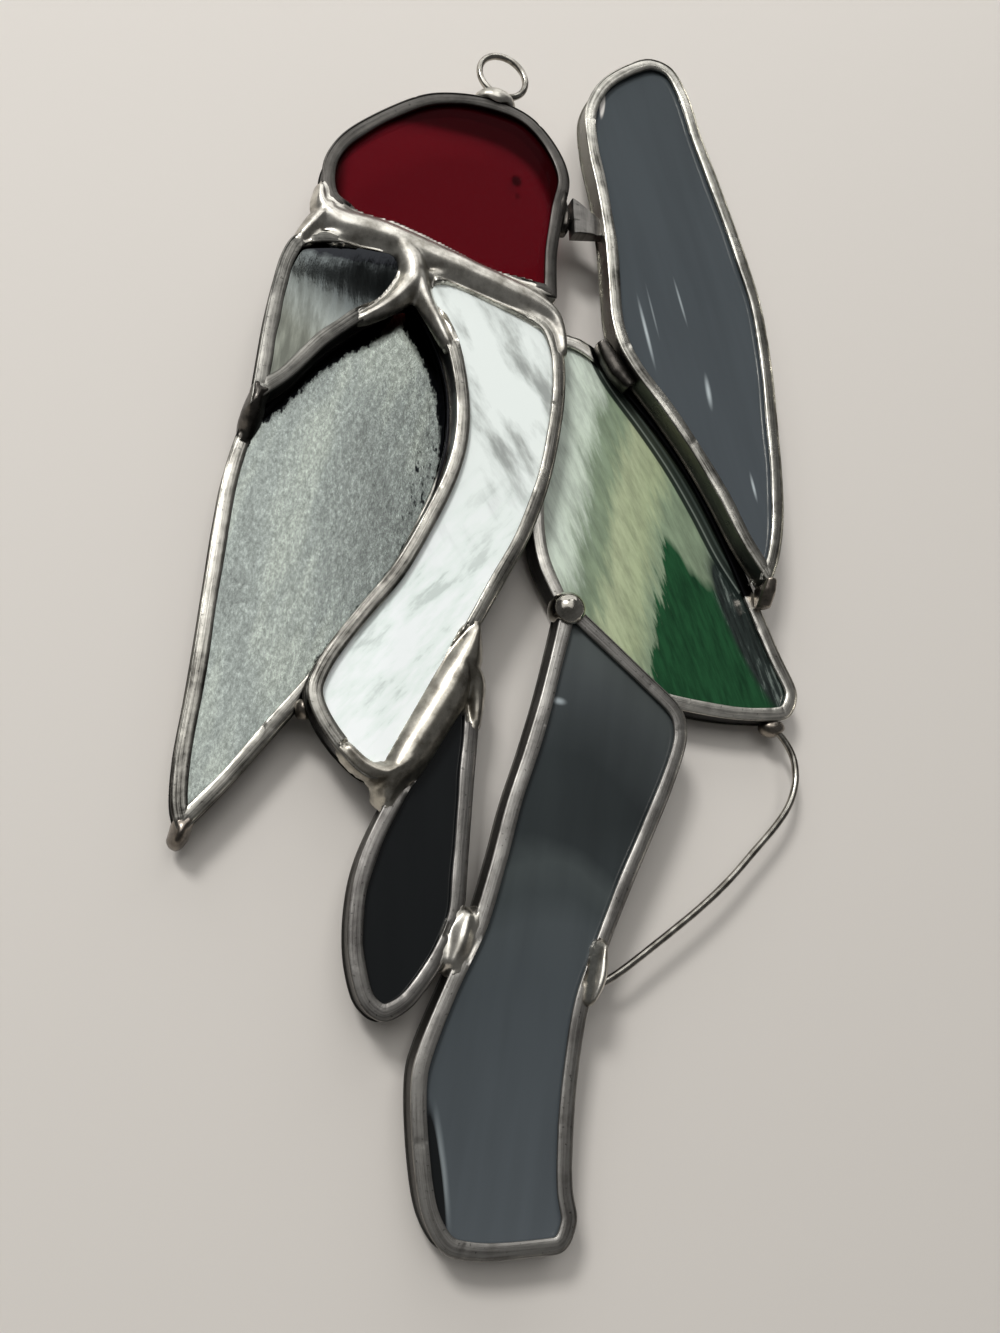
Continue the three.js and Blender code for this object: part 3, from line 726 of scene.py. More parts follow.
def rolledNodes():
    # the relief that a textured roller presses into a sheet: grains of one size, on the front face only
    group = bpy.data.node_groups.new("rolled_relief", "GeometryNodeTree")
    group.interface.new_socket("Geometry", in_out="INPUT", socket_type="NodeSocketGeometry")
    groupInput(group, "Grain Size", "NodeSocketFloat", 0.001)
    groupInput(group, "Grain Height", "NodeSocketFloat", 0.00005)
    groupInput(group, "Grain Length", "NodeSocketFloat", 1.0)
    groupInput(group, "Seed", "NodeSocketFloat", 1.0)
    groupInput(group, "Glass", "NodeSocketMaterial", None)
    group.interface.new_socket("Geometry", in_out="OUTPUT", socket_type="NodeSocketGeometry")
    given = addNode(group, "NodeGroupInput")
    where = addNode(group, "GeometryNodeInputPosition")
    apart = addNode(group, "ShaderNodeSeparateXYZ", {"Vector": where})
    long = addNode(group, "ShaderNodeMath", {0: apart.outputs["Z"], 1: given.outputs["Grain Length"]},
                   operation="DIVIDE")
    stretched = addNode(group, "ShaderNodeCombineXYZ", {"X": apart.outputs["X"], "Y": apart.outputs["Y"],
                        "Z": long})
    often = addNode(group, "ShaderNodeMath", {0: 1.0, 1: given.outputs["Grain Size"]}, operation="DIVIDE")
    noise = addNode(group, "ShaderNodeTexNoise", {"Vector": stretched, "W": given.outputs["Seed"],
                    "Scale": often, "Detail": 2.0}, noise_dimensions="4D")
    middle = addNode(group, "ShaderNodeMath", {0: noise.outputs["Fac"], 1: 0.5}, operation="SUBTRACT")
    lift = addNode(group, "ShaderNodeMath", {0: middle, 1: given.outputs["Grain Height"]},
                   operation="MULTIPLY")
    normal = addNode(group, "GeometryNodeInputNormal")
    facing = addNode(group, "ShaderNodeSeparateXYZ", {"Vector": normal})
    front = addNode(group, "FunctionNodeCompare", {0: facing.outputs["Y"], 1: -0.8}, operation="LESS_THAN")
    offset = addNode(group, "ShaderNodeVectorMath", {0: normal, "Scale": lift}, operation="SCALE")
    moved = addNode(group, "GeometryNodeSetPosition", {"Geometry": given.outputs["Geometry"],
                    "Selection": front, "Offset": offset})
    real = addNode(group, "GeometryNodeRealizeInstances", {"Geometry": moved})
    dressed = addNode(group, "GeometryNodeSetMaterial",
                      {"Geometry": real, "Material": given.outputs["Glass"]})
    addNode(group, "NodeGroupOutput", {"Geometry": dressed})
    return group


rolledTree = rolledNodes()


def gridQuads(inside):
    # the squares of a grid that lie wholly inside: the grid points they use, the squares, and their rim
    cells = inside[:-1, :-1] & inside[1:, :-1] & inside[:-1, 1:] & inside[1:, 1:]
    used = np.zeros(inside.shape, bool)
    for di, dj in ((0, 0), (1, 0), (0, 1), (1, 1)):
        used[di:di + cells.shape[0], dj:dj + cells.shape[1]] |= cells
    number = -np.ones(inside.shape, int)
    number[used] = np.arange(used.sum())
    quads = [(number[i, j], number[i + 1, j], number[i + 1, j + 1], number[i, j + 1])
             for i, j in zip(*np.nonzero(cells))]
    directed = set((q[k], q[(k + 1) % 4]) for q in quads for k in range(4))
    rim = [(p, q) for p, q in directed if (q, p) not in directed]
    return used, quads, rim


def slabFaces(quads, rim, count):
    # the front and back of a slab, and the wall around its rim
    back = [tuple(i + count for i in reversed(q)) for q in quads]
    return quads + back + [(q, p, p + count, q + count) for p, q in rim]


def glassSheet(pane, look, seed):
    # a sheet cut to the outline: a grid over the pane, its rim drawn onto the cut edge
    edge = insetLine(pane["line"], sheet["play"])
    edge = edge[np.linalg.norm(edge - np.roll(edge, 1, axis=0), axis=1) > 1e-4]
    low, high, grid = edge.min(0), edge.max(0), look["grid"]
    xs = np.arange(low[0] - grid, high[0] + 2 * grid, grid)
    ys = np.arange(low[1] - grid, high[1] + 2 * grid, grid)
    inside = np.zeros((len(xs), len(ys)), bool)
    a, b = edge, np.roll(edge, -1, axis=0)
    for j, y in enumerate(ys):
        cut = (a[:, 1] > y) != (b[:, 1] > y)
        crossX = a[cut, 0] + (y - a[cut, 1]) * (b[cut, 0] - a[cut, 0]) / (b[cut, 1] - a[cut, 1])
        inside[:, j] = (crossX[None, :] > xs[:, None]).sum(1) % 2 == 1
    used, quads, rim = gridQuads(inside)
    flat = np.array([(xs[i], ys[j]) for i, j in zip(*np.nonzero(used))])
    for i in set(p for p, q in rim):
        apart = np.linalg.norm(edge - flat[i], axis=1)
        flat[i] = edge[apart.argmin()]
    frontLevel = pane["front"] - sheet["frontLip"]
    points = place(pane, flat, frontLevel) + place(pane, flat, frontLevel - sheet["thick"])
    piece = newPiece(pane["name"] + "_sheet", points, slabFaces(quads, rim, len(flat)), look["glass"])
    sharpen(piece, sheet["hardEdge"])
    markLeadShade(piece, pane["name"])
    piece.data = grow(piece, rolledTree, {
        "Grain Size": look["grain"] * mm, "Grain Height": look["high"] * mm, "Grain Length": look["long"],
        "Seed": float(seed), "Glass": look["glass"]})
    seat(piece, pane["name"] + "_glass")


def letLampsThrough(tree, shader, colour):
    # lamps reach what lies behind clear glass, tinted as by the glass
    lampRay = addNode(tree, "ShaderNodeLightPath").outputs["Is Shadow Ray"]
    tint = addNode(tree, "ShaderNodeBsdfTransparent", {"Color": colour})
    return addNode(tree, "ShaderNodeMixShader", {"Fac": lampRay, 1: shader, 2: tint})


def redGlass():
    # cathedral glass, deep red and clear, so the board behind it glows through. A seed bubble sits in it.
    material, tree = newMaterial("cathedral_glass_red")
    at = millimetres(tree)
    wave = addNode(tree, "ShaderNodeTexNoise", {"Vector": at, "Scale": 0.07, "Detail": 2})
    bubble = spot(tree, at, (1.9, -31.4), (2.0, 2.4), 10)
    seed = spot(tree, at, (2.0, -35.6), (1.0, 1.4), 10)
    ring = addNode(tree, "ShaderNodeMath", {0: seed, 1: 0.5, 2: bubble}, operation="MULTIPLY_ADD")
    shade = addNode(tree, "ShaderNodeMath", {0: ring, 1: 1.6}, operation="MULTIPLY", use_clamp=True)
    tint = addNode(tree, "ShaderNodeMix", {"Factor": shade, 6: linear("#6d141e"), 7: linear("#33090e")},
                   data_type="RGBA")
    # painted shade and reflection of the strip round the pane: the red darkens towards its edges
    moved = addNode(tree, "ShaderNodeMapping",
                    {"Vector": at, "Location": (-14.5, 0, -47), "Scale": (25.5, 1e6, 25.5)},
                    vector_type="TEXTURE")
    apart = addNode(tree, "ShaderNodeSeparateXYZ", {"Vector": addNode(tree, "ShaderNodeVectorMath",
                    {0: moved}, operation="ABSOLUTE").outputs[0]})
    wide = addNode(tree, "ShaderNodeMath", {0: apart.outputs["X"], 1: 3.0}, operation="POWER")
    tall = addNode(tree, "ShaderNodeMath", {0: apart.outputs["Z"], 1: 3.0}, operation="POWER")
    out = addNode(tree, "ShaderNodeMath", {0: wide, 1: tall}, operation="ADD")
    even = addNode(tree, "ShaderNodeMapRange", {"Value": out, "From Min": 0.8, "From Max": 1.15,
                   "To Min": 1.0, "To Max": 0.22}, interpolation_type="SMOOTHSTEP")
    tint = addNode(tree, "ShaderNodeMix", {"Factor": 1.0, 6: tint.outputs[2], 7: even}, data_type="RGBA",
                   blend_type="MULTIPLY")
    bump = addNode(tree, "ShaderNodeBump", {"Height": wave.outputs["Fac"], "Strength": 0.06,
                   "Distance": 1 * mm})
    glass = addNode(tree, "ShaderNodeBsdfPrincipled", {
        "Base Color": tint.outputs[2], "Roughness": 0.03, "IOR": 1.04, "Transmission Weight": 0.5,
        "Normal": bump})
    finishMaterial(tree, letLampsThrough(tree, glass, linear("#a01c26")))
    return material


def graniteGlass():
    # black glass with a silvery lustre, rolled so that its face is a close grain running down the sheet
    material, tree = newMaterial("granite_glass_black_lustre")
    at = millimetres(tree)
    close = millimetres(tree, (1, 1, 0.55), 10)
    grains = addNode(tree, "ShaderNodeTexNoise",
                     {"Vector": close, "Scale": 1.5, "Detail": 5, "Roughness": 0.8})
    torn = addNode(tree, "ShaderNodeTexNoise",
                   {"Vector": millimetres(tree, (1, 1, 0.4), 0), "Scale": 0.9, "Detail": 5,
                   "Roughness": 0.7})
    sparkle = addNode(tree, "ShaderNodeTexNoise",
                      {"Vector": close, "Scale": 2.6, "Detail": 3, "Roughness": 0.7})
    drift = addNode(tree, "ShaderNodeTexNoise",
                    {"Vector": millimetres(tree, (1, 1, 0.2), 17), "Scale": 0.13, "Detail": 4})
    patch = ramp(tree, drift.outputs["Fac"], [(0.34, "#767b77"), (0.5, "#848a85"), (0.64, "#929890")])
    grainy = ramp(tree, grains.outputs["Fac"], [(0.3, 0.55), (0.5, 0.95), (0.7, 1.4)])
    flash = ramp(tree, sparkle.outputs["Fac"], [(0.3, 0.7), (0.5, 1.0), (0.68, 1.3)])
    base = addNode(tree, "ShaderNodeMix", {"Factor": 1.0, 6: patch, 7: grainy}, data_type="RGBA",
                   blend_type="MULTIPLY").outputs[2]
    base = addNode(tree, "ShaderNodeMix", {"Factor": 0.8, 6: base, 7: flash}, data_type="RGBA",
                   blend_type="MULTIPLY").outputs[2]
    # painted shade and reflection of the breast's lead: a dark band with a torn edge along the wing's right
    # side
    breastLeadShade = addNode(tree, "ShaderNodeMath", {0: spot(tree, at, (-19, -112), (7.5, 27), 14), 1: 2.5},
                   operation="MULTIPLY", use_clamp=True).outputs[0]
    pit = ramp(tree, torn.outputs["Fac"], [(0.4, 1.0), (0.44, 0.0)])
    tornBreastShade = addNode(tree, "ShaderNodeMath", {0: breastLeadShade, 1: pit}, operation="MULTIPLY", use_clamp=True)
    base = addNode(tree, "ShaderNodeMix", {"Factor": tornBreastShade, 6: base, 7: linear("#1c1e20")},
                   data_type="RGBA").outputs[2]
    # painted shade and reflection of the cheek's and breast's leads: the wing goes black under them, with a
    # torn edge
    leadShadeBand = paintedLeadShade(tree, 5, torn.outputs["Fac"])
    base = addNode(tree, "ShaderNodeMix", {"Factor": leadShadeBand, 6: base, 7: linear("#0b0c0e")},
                   data_type="RGBA").outputs[2]
    bump = addNode(tree, "ShaderNodeBump", {"Height": grains.outputs["Fac"], "Strength": 0.5,
                   "Distance": 0.09 * mm})
    finishMaterial(tree, addNode(tree, "ShaderNodeBsdfPrincipled", {
        "Base Color": base, "Metallic": 1.0, "Roughness": 0.09, "Normal": bump}))
    return material


def reamyGlass():
    # black glass with a silvery lustre, drawn in soft upright waves. It is painted darker towards the upper
    # right and black at the top: painted reflection and shade.
    material, tree = newMaterial("waterglass_black_lustre")
    at = millimetres(tree)
    waves = addNode(tree, "ShaderNodeTexNoise", {"Vector": millimetres(tree, (1, 1, 0.16), 6), "Scale": 0.5,
                    "Detail": 4, "Roughness": 0.6})
    ripple = addNode(tree, "ShaderNodeTexNoise",
                     {"Vector": millimetres(tree, (0.6, 1, 1), -15), "Scale": 0.5, "Detail": 3})
    place = addNode(tree, "ShaderNodeSeparateXYZ", {"Vector": at})
    slope = addNode(tree, "ShaderNodeMath", {0: place.outputs["X"], 1: 0.75, 2: place.outputs["Z"]},
                    operation="MULTIPLY_ADD")
    broken = addNode(tree, "ShaderNodeMath", {0: waves.outputs["Fac"], 1: 14.0, 2: slope},
                     operation="MULTIPLY_ADD")
    flash = ramp(tree, waves.outputs["Fac"], [(0.36, 0.7), (0.5, 1.0), (0.6, 1.3)])
    # painted reflection: the lustre darkens towards the upper right
    reflectionFade = addNode(tree, "ShaderNodeMapRange", {"Value": broken, "From Min": -112, "From Max": -80})
    silver = ramp(tree, reflectionFade, [(0.0, "#65675f"), (0.3, "#6c706c"), (0.55, "#4e5251"), (0.85, "#353838")])
    # painted shade and reflection: a black band along the top edge, with a rippled edge
    topEdge = addNode(tree, "ShaderNodeMath", {0: ripple.outputs["Fac"], 1: 4.5, 2: place.outputs["Z"]},
                      operation="MULTIPLY_ADD")
    top = addNode(tree, "ShaderNodeMapRange", {"Value": topEdge, "From Min": -60.6, "From Max": -59.4})
    silver = addNode(tree, "ShaderNodeMix", {"Factor": 1.0, 6: silver, 7: flash}, data_type="RGBA",
                     blend_type="MULTIPLY").outputs[2]
    base = addNode(tree, "ShaderNodeMix", {"Factor": top, 6: silver, 7: linear("#1b1c1e")},
                   data_type="RGBA").outputs[2]
    bump = addNode(tree, "ShaderNodeBump", {"Height": waves.outputs["Fac"], "Strength": 0.2,
                   "Distance": 0.1 * mm})
    finishMaterial(tree, addNode(tree, "ShaderNodeBsdfPrincipled", {
        "Base Color": base, "Metallic": 1.0, "Roughness": 0.05, "Normal": bump}))
    return material


def opalGlass():
    # white wispy opal: milk-white glass with thin gray smoke brushed through it, and a fire-polished face
    material, tree = newMaterial("wispy_opal_white")
    at = millimetres(tree)
    falling = addNode(tree, "ShaderNodeTexNoise",
                      {"Vector": millimetres(tree, (1, 1, 0.3), -30), "Scale": 0.24,
                      "Detail": 5, "Roughness": 0.55})
    rising = addNode(tree, "ShaderNodeTexNoise",
                     {"Vector": millimetres(tree, (1, 1, 0.25), 42), "Scale": 0.34,
                     "Detail": 4, "Roughness": 0.6})
    smoke = spot(tree, at, (8.5, -88), (6.5, 26), -2)
    middle = spot(tree, at, (-1.5, -108), (10, 22), 14)
    gray = addNode(tree, "ShaderNodeMath", {0: middle, 1: 0.7, 2: smoke}, operation="MULTIPLY_ADD",
                   use_clamp=True)
    shade = addNode(tree, "ShaderNodeMath", {0: gray, 1: -0.16, 2: falling.outputs["Fac"]},
                    operation="MULTIPLY_ADD")
    strokes = ramp(tree, shade, [(0.24, "#a3a7a3"), (0.32, "#c0c5c0"), (0.4, "#dfe5e0"), (0.5, "#f1f7f2")])
    low = addNode(tree, "ShaderNodeMapRange",
                  {"Value": addNode(tree, "ShaderNodeSeparateXYZ", {"Vector": at}).outputs["Z"],
                  "From Min": -105, "From Max": -135})
    brushed = ramp(tree, rising.outputs["Fac"], [(0.36, "#d3dcd6"), (0.45, "#eff8f2"), (0.6, "#fbfffd")])
    base = addNode(tree, "ShaderNodeMix", {"Factor": low, 6: strokes, 7: brushed}, data_type="RGBA")
    finishMaterial(tree, addNode(tree, "ShaderNodeBsdfPrincipled", {
        "Base Color": base.outputs[2], "Roughness": 0.06, "IOR": 1.5, "Specular IOR Level": 0.35}))
    return material


def spot(tree, at, centre, size, turn=0):
    # a soft oval on a pane's face, 1 in its middle and 0 at its edge
    moved = addNode(tree, "ShaderNodeMapping", {"Vector": at, "Location": (centre[0], 0, centre[1]),
                    "Rotation": (0, math.radians(turn), 0), "Scale": (size[0], 1e6, size[1])},
                    vector_type="TEXTURE")
    away = addNode(tree, "ShaderNodeVectorMath", {0: moved}, operation="LENGTH")
    return addNode(tree, "ShaderNodeMapRange",
                   {"Value": away.outputs["Value"], "From Min": 1.0, "From Max": 0.0},
                   interpolation_type="SMOOTHSTEP").outputs[0]


def leafGlass():
    # streaky opal: white, gray-green, cream and dark green poured together and combed by the roller
    material, tree = newMaterial("streaky_opal_green")
    at = millimetres(tree)
    parts = addNode(tree, "ShaderNodeSeparateXYZ", {"Vector": at})
    combed = millimetres(tree, (1, 1, 0.13), -18)
    fine = addNode(tree, "ShaderNodeTexNoise",
                   {"Vector": combed, "Scale": 0.7, "Detail": 6, "Roughness": 0.68})
    broad = addNode(tree, "ShaderNodeTexNoise", {"Vector": combed, "Scale": 0.14, "Detail": 3})
    lean = addNode(tree, "ShaderNodeMath", {0: parts.outputs["Z"], 1: -0.24, 2: parts.outputs["X"]},
                   operation="MULTIPLY_ADD")
    comb = addNode(tree, "ShaderNodeMath", {0: fine.outputs["Fac"], 1: 11.0, 2: lean},
                   operation="MULTIPLY_ADD")
    comb2 = addNode(tree, "ShaderNodeMath", {0: broad.outputs["Fac"], 1: 11.0, 2: comb},
                    operation="MULTIPLY_ADD")
    # lean is x - 0.24 z, so a band's edge at x - 0.24 (z + 120) = s sits at s + 28.8, and the combing adds 11
    place01 = addNode(tree, "ShaderNodeMapRange", {"Value": comb2, "From Min": 44.8, "From Max": 94.8})
    bands = ramp(tree, place01, [
        (0.0, "#d2dccf"), (0.18, "#c4cfbf"), (0.27, "#84937c"), (0.34, "#839278"), (0.42, "#a9b290"),
        (0.56, "#a3ae8a"), (0.66, "#84947a"), (1.0, "#7b8a72")])
    edge = addNode(tree, "ShaderNodeMath", {0: parts.outputs["X"], 1: 0.9, 2: parts.outputs["Z"]},
                   operation="MULTIPLY_ADD")
    top = addNode(tree, "ShaderNodeMath", {0: broad.outputs["Fac"], 1: -16.0, 2: edge},
                  operation="MULTIPLY_ADD")
    below = addNode(tree, "ShaderNodeMapRange", {"Value": top, "From Min": -91.5, "From Max": -94.0})
    right = addNode(tree, "ShaderNodeMapRange", {"Value": comb2, "From Min": 77.8, "From Max": 79.6})
    dark = addNode(tree, "ShaderNodeMath", {0: below, 1: right}, operation="MULTIPLY")
    green = ramp(tree, fine.outputs["Fac"], [(0.35, "#12361f"), (0.6, "#1f4d2e")])
    feather = addNode(tree, "ShaderNodeTexNoise",
                      {"Vector": millimetres(tree, (0.8, 1, 0.14), -24), "Scale": 0.8,
                      "Detail": 4, "Roughness": 0.65})
    brushed = ramp(tree, feather.outputs["Fac"], [(0.35, 0.8), (0.5, 1.0), (0.62, 1.16)])
    bands = addNode(tree, "ShaderNodeMix", {"Factor": 1.0, 6: bands, 7: brushed}, data_type="RGBA",
                    blend_type="MULTIPLY").outputs[2]
    base = addNode(tree, "ShaderNodeMix", {"Factor": dark, 6: bands, 7: green}, data_type="RGBA")
    # painted shade and reflection of the leads in front; the glint ramp below adds a painted highlight line
    # along their edge
    mirrored = addNode(tree, "ShaderNodeMath", {0: paintedLeadShade(tree, 0), 1: 0.95}, operation="MULTIPLY")
    # painted reflection: the upper trunk's dark lead wall mirrored in the leaf near its right edge
    wall = addNode(tree, "ShaderNodeMath", {0: spot(tree, at, (58.2, -138.5), (5.4, 27), -24), 1: 4.0},
                   operation="MULTIPLY", use_clamp=True).outputs[0]
    wallReflection = ramp(tree, fine.outputs["Fac"], [(0.4, "#1d2321"), (0.55, "#2f3734"), (0.62, "#6b746e")])
    base = addNode(tree, "ShaderNodeMix", {"Factor": wall, 6: base.outputs[2], 7: wallReflection},
                   data_type="RGBA")
    depth = addNode(tree, "ShaderNodeAttribute", attribute_name="under").outputs["Fac"]
    place = addNode(tree, "ShaderNodeMapRange", {"Value": depth, "From Min": underMargin,
                    "From Max": underMargin + 5}).outputs[0]
    glint = ramp(tree, place, [(0.0, "#1c2421"), (0.2, "#1a211f"), (0.26, "#7d857d"), (0.33, "#2b322f"),
                 (0.5, "#151a19"), (0.62, "#3e4643"), (0.7, "#141817")])
    base = addNode(tree, "ShaderNodeMix", {"Factor": mirrored, 6: base.outputs[2], 7: glint},
                   data_type="RGBA")
    finishMaterial(tree, addNode(tree, "ShaderNodeBsdfPrincipled", {
        "Base Color": base.outputs[2], "Roughness": 0.06, "IOR": 1.5}))
    return material


def trunkGlass(name, stops, flecks, turn, bow=0.0):
    # gray opaque glass: smoky along its length, with a few white flecks caught in it
    material, tree = newMaterial(name)
    at = millimetres(tree)
    along = addNode(tree, "ShaderNodeSeparateXYZ", {"Vector": at})
    streak = addNode(tree, "ShaderNodeTexNoise", {"Vector": millimetres(tree, (1, 1, 0.1), turn),
                     "Scale": 0.2, "Detail": 4})
    waver = addNode(tree, "ShaderNodeTexNoise", {"Vector": at, "Scale": 0.05, "Detail": 3})
    arch = addNode(tree, "ShaderNodeMath", {0: along.outputs["X"], 1: 2.5}, operation="ADD")
    square = addNode(tree, "ShaderNodeMath", {0: arch, 1: arch}, operation="MULTIPLY")
    bowed = addNode(tree, "ShaderNodeMath", {0: square, 1: bow, 2: along.outputs["Z"]},
                    operation="MULTIPLY_ADD")
    level = addNode(tree, "ShaderNodeMath", {0: waver.outputs["Fac"], 1: 12.0, 2: bowed},
                    operation="MULTIPLY_ADD")
    low, high = stops[-1][0], stops[0][0]
    place01 = addNode(tree, "ShaderNodeMapRange", {"Value": level, "From Min": low + 6, "From Max": high + 6})
    smoke = ramp(tree, place01, [((z - low) / (high - low), colour) for z, colour in reversed(stops)])
    dim = ramp(tree, streak.outputs["Fac"], [(0.35, 0.88), (0.65, 1.0)])
    base = addNode(tree, "ShaderNodeMix", {"Factor": 1.0, 6: smoke, 7: dim}, data_type="RGBA",
                   blend_type="MULTIPLY").outputs[2]
    if bow:
        # painted shade: in its upper part the glass darkens towards the right
        aside = addNode(tree, "ShaderNodeMapRange",
                        {"Value": along.outputs["X"], "From Min": 2, "From Max": 24})
        above = addNode(tree, "ShaderNodeMapRange",
                        {"Value": along.outputs["Z"], "From Min": -193, "From Max": -184, "To Max": 0.42})
        rightShade = addNode(tree, "ShaderNodeMath", {0: aside, 1: above}, operation="MULTIPLY")
        base = addNode(tree, "ShaderNodeMix", {"Factor": rightShade, 6: base, 7: linear("#151818")},
                       data_type="RGBA").outputs[2]
    for centre, size, turnFleck, strength, colour in flecks:
        mask = spot(tree, at, centre, size, turnFleck)
        torn = addNode(tree, "ShaderNodeMath", {0: mask, 1: streak.outputs["Fac"]}, operation="MULTIPLY")
        share = addNode(tree, "ShaderNodeMath", {0: torn, 1: 2 * strength}, operation="MULTIPLY",
                        use_clamp=True)
        base = addNode(tree, "ShaderNodeMix", {"Factor": share, 6: base, 7: linear(colour)},
                       data_type="RGBA").outputs[2]
    finishMaterial(tree, addNode(tree, "ShaderNodeBsdfPrincipled", {
        "Base Color": base, "Roughness": 0.05, "IOR": 1.5}))
    return material


# the gray glasses' colours at heights in z, and their flecks: place, size, turn, strength and colour
tailSmoke = [(-150, "#1a1c1d"), (-225, "#151718")]
upperSmoke = [(20, "#4a5053"), (-130, "#4e5458")]
lowerSmoke = [(-140, "#606665"), (-152, "#505556"), (-168, "#363b3c"), (-187, "#333839"), (-192.5, "#474d4d"),
              (-198, "#424849"), (-204, "#4a5052"), (-215, "#484e51"), (-262, "#565c60")]
upperFlecks = [((33.9, -66.2), (0.7, 11.5), -10, 0.8, "#b9c2c4"),
               ((44, -55.8), (0.5, 8), -12, 0.7, "#b9c2c4"),
               ((36, -60), (0.4, 9), -10, 0.4, "#b9c2c4"), ((49.6, -79.6), (1.0, 5.8), -5, 0.9, "#b9c2c4"),
               ((59.6, -103.3), (0.6, 4.6), -9, 0.9, "#b9c2c4"), ((26.3, -1.8), (0.9, 5.5), 8, 3, "#d9d5ce")]
# the lower trunk's last two marks are painted light and shade: a painted highlight along the glass's cut
# edge, and a dark sliver of painted shade where the glass stops short of its lead
lowerFlecksAndGap = [((6.8, -159), (2.2, 1.1), 8, 0.9, "#a9b2b4"), ((-18.6, -247), (1.1, 13), -7, 1.2, "#7f8688"),
               ((-19.8, -249), (1.6, 16), -7, 4, "#141617")]
# each sheet's glass, the grid it is made on, and the size, height and stretch of its rolled grains
glassLook = {
    "red_cap": {"glass": redGlass(), "grid": 1.5, "grain": 18, "high": 0.1, "long": 1},
    "cheek": {"glass": reamyGlass(), "grid": 0.6, "grain": 4, "high": 0.035, "long": 3},
    "wing": {"glass": graniteGlass(), "grid": 0.45, "grain": 1.6, "high": 0.08, "long": 1.6},
    "breast": {"glass": opalGlass(), "grid": 1.2, "grain": 14, "high": 0.12, "long": 1},
    "tail": {"glass": trunkGlass("opaque_glass_black", tailSmoke, [], 0),
             "grid": 1.5, "grain": 25, "high": 0.05, "long": 1},
    "leaf": {"glass": leafGlass(), "grid": 0.8, "grain": 14, "high": 0.12, "long": 1},
    "upper_trunk": {"glass": trunkGlass("streaky_glass_blue_gray", upperSmoke, upperFlecks, -12),
                    "grid": 1.5, "grain": 25, "high": 0.05, "long": 1},
    "lower_trunk": {"glass": trunkGlass("opaque_glass_gray", lowerSmoke, lowerFlecksAndGap, 10, 0.017),
                    "grid": 1.5, "grain": 25, "high": 0.05, "long": 1},
}
for seed, (name, look) in enumerate(glassLook.items()):
    glassSheet(panes[name], look, seed + 1)
print("glass cut")

solderMetals = {
    "bright": pouredSolder("tin_lead_solder", "#938f86", "#d6d2c8", 0.27),
    "warm": pouredSolder("tin_lead_solder_warm", "#79746a", "#bfbaae", 0.27),
    "drop": pouredSolder("tin_lead_solder_bright_drop", "#7f7b73", "#c6c2b8", 0.1),
    "dull": pouredSolder("tin_lead_solder_dull", "#57514a", "#928a80", 0.24),
    "dark": pouredSolder("tin_lead_solder_stained", "#2f2d2a", "#5c5853", 0.24),
}


def blurred(values, weights, rounds):
    # a grid of values averaged with their neighbours, taking only those that carry weight
    for i in range(rounds):
        for axis in (0, 1):
            near = sum(np.roll(values * weights, k, axis) * w for k, w in ((-1, 1), (0, 2), (1, 1)))
            share = sum(np.roll(weights, k, axis) * w for k, w in ((-1, 1), (0, 2), (1, 1)))
            values = np.where(share > 0, near / np.maximum(share, 1e-9), values)
    return values


def solderSkin(node, pour):
    # solder flowed over the leads it joins: a skin that rises to each run's crown and runs out in fillets
    samples, floor, widest = seamSamples[node], pour["floor"], solder["widest"]
    margin = samples[:, 2].max() * widest + 1
    low, high = samples[:, :2].min(0) - margin, samples[:, :2].max(0) + margin
    xs = np.arange(low[0], high[0], solder["grid"])
    zs = np.arange(low[1], high[1], solder["grid"])
    x, z = [g.ravel() for g in np.meshgrid(xs, zs, indexing="ij")]
    reach, crown = reachOf(samples, x, z)
    near = reach < widest
    # the level of the strips under the solder, and where the glass in them is open to view
    lead = np.full(len(x), -60.0)
    window = np.zeros(len(x))
    for name in pour["joins"]:
        inside, level = depthInside(panes[name], x[near], z[near])
        here = level - 0.25 * soften(0.5, 0, inside) + 4.5 * np.minimum(inside, 0)
        here -= solder["pressed"] * soften(1.2, strip["lip"], inside) * soften(1.35, 0.95, reach[near])
        lead[near] = np.maximum(lead[near], here)
        window[near] = np.maximum(window[near], soften(strip["lip"] + 0.1, strip["lip"] + 0.7, inside))
    onLead = lead > crown - 3
    bead = crown - solder["drop"] * np.minimum(reach, widest) ** 2
    bead += 0.07 * np.sin(x * 0.45 + 2 * np.sin(z * 0.3)) * np.sin(z * 0.4 + 1.5 * np.sin(x * 0.25))
    height = smoothMax(bead, lead, solder["fillet"])
    shape = (len(xs), len(zs))
    solid = (near & (height > floor) & (onLead | (reach < 1.35))).reshape(shape)
    height = blurred(height.reshape(shape), solid.astype(float), 3).ravel()
    height -= 0.05 + 0.25 * soften(1.15, 1.6, reach) + 3.2 * window
    solid &= (height > floor).reshape(shape)
    used, quads, rim = gridQuads(solid)
    picked = used.ravel()
    top = np.stack([x[picked], -height[picked], z[picked]], axis=1)
    under = top.copy()
    under[:, 1] = np.minimum(top[:, 1] + solder["thick"], -floor)
    # the ragged rim is drawn smooth, and the skin's edge rolled down onto what it lies on
    rimFrom, rimTo = np.array(rim).T
    for i in range(6):
        eased = top.copy()
        eased[rimFrom] = 0.5 * top[rimFrom] + 0.5 * top[rimTo]
        top[rimTo] = 0.5 * eased[rimTo] + 0.5 * eased[rimFrom]
    under[rimFrom, 0], under[rimFrom, 2] = top[rimFrom, 0], top[rimFrom, 2]
    top[rimFrom, 1] = np.minimum(top[rimFrom, 1] + 0.5, (top[rimFrom, 1] + 4 * under[rimFrom, 1]) / 5)
    piece = newPiece(node.replace("solder_", "") + "_solder", np.concatenate([top, under]) * mm,
                     slabFaces(quads, rim, len(top)), solderMetals[pour["metal"]])
    sharpen(piece, solder["hardEdge"])
    seat(piece, node)


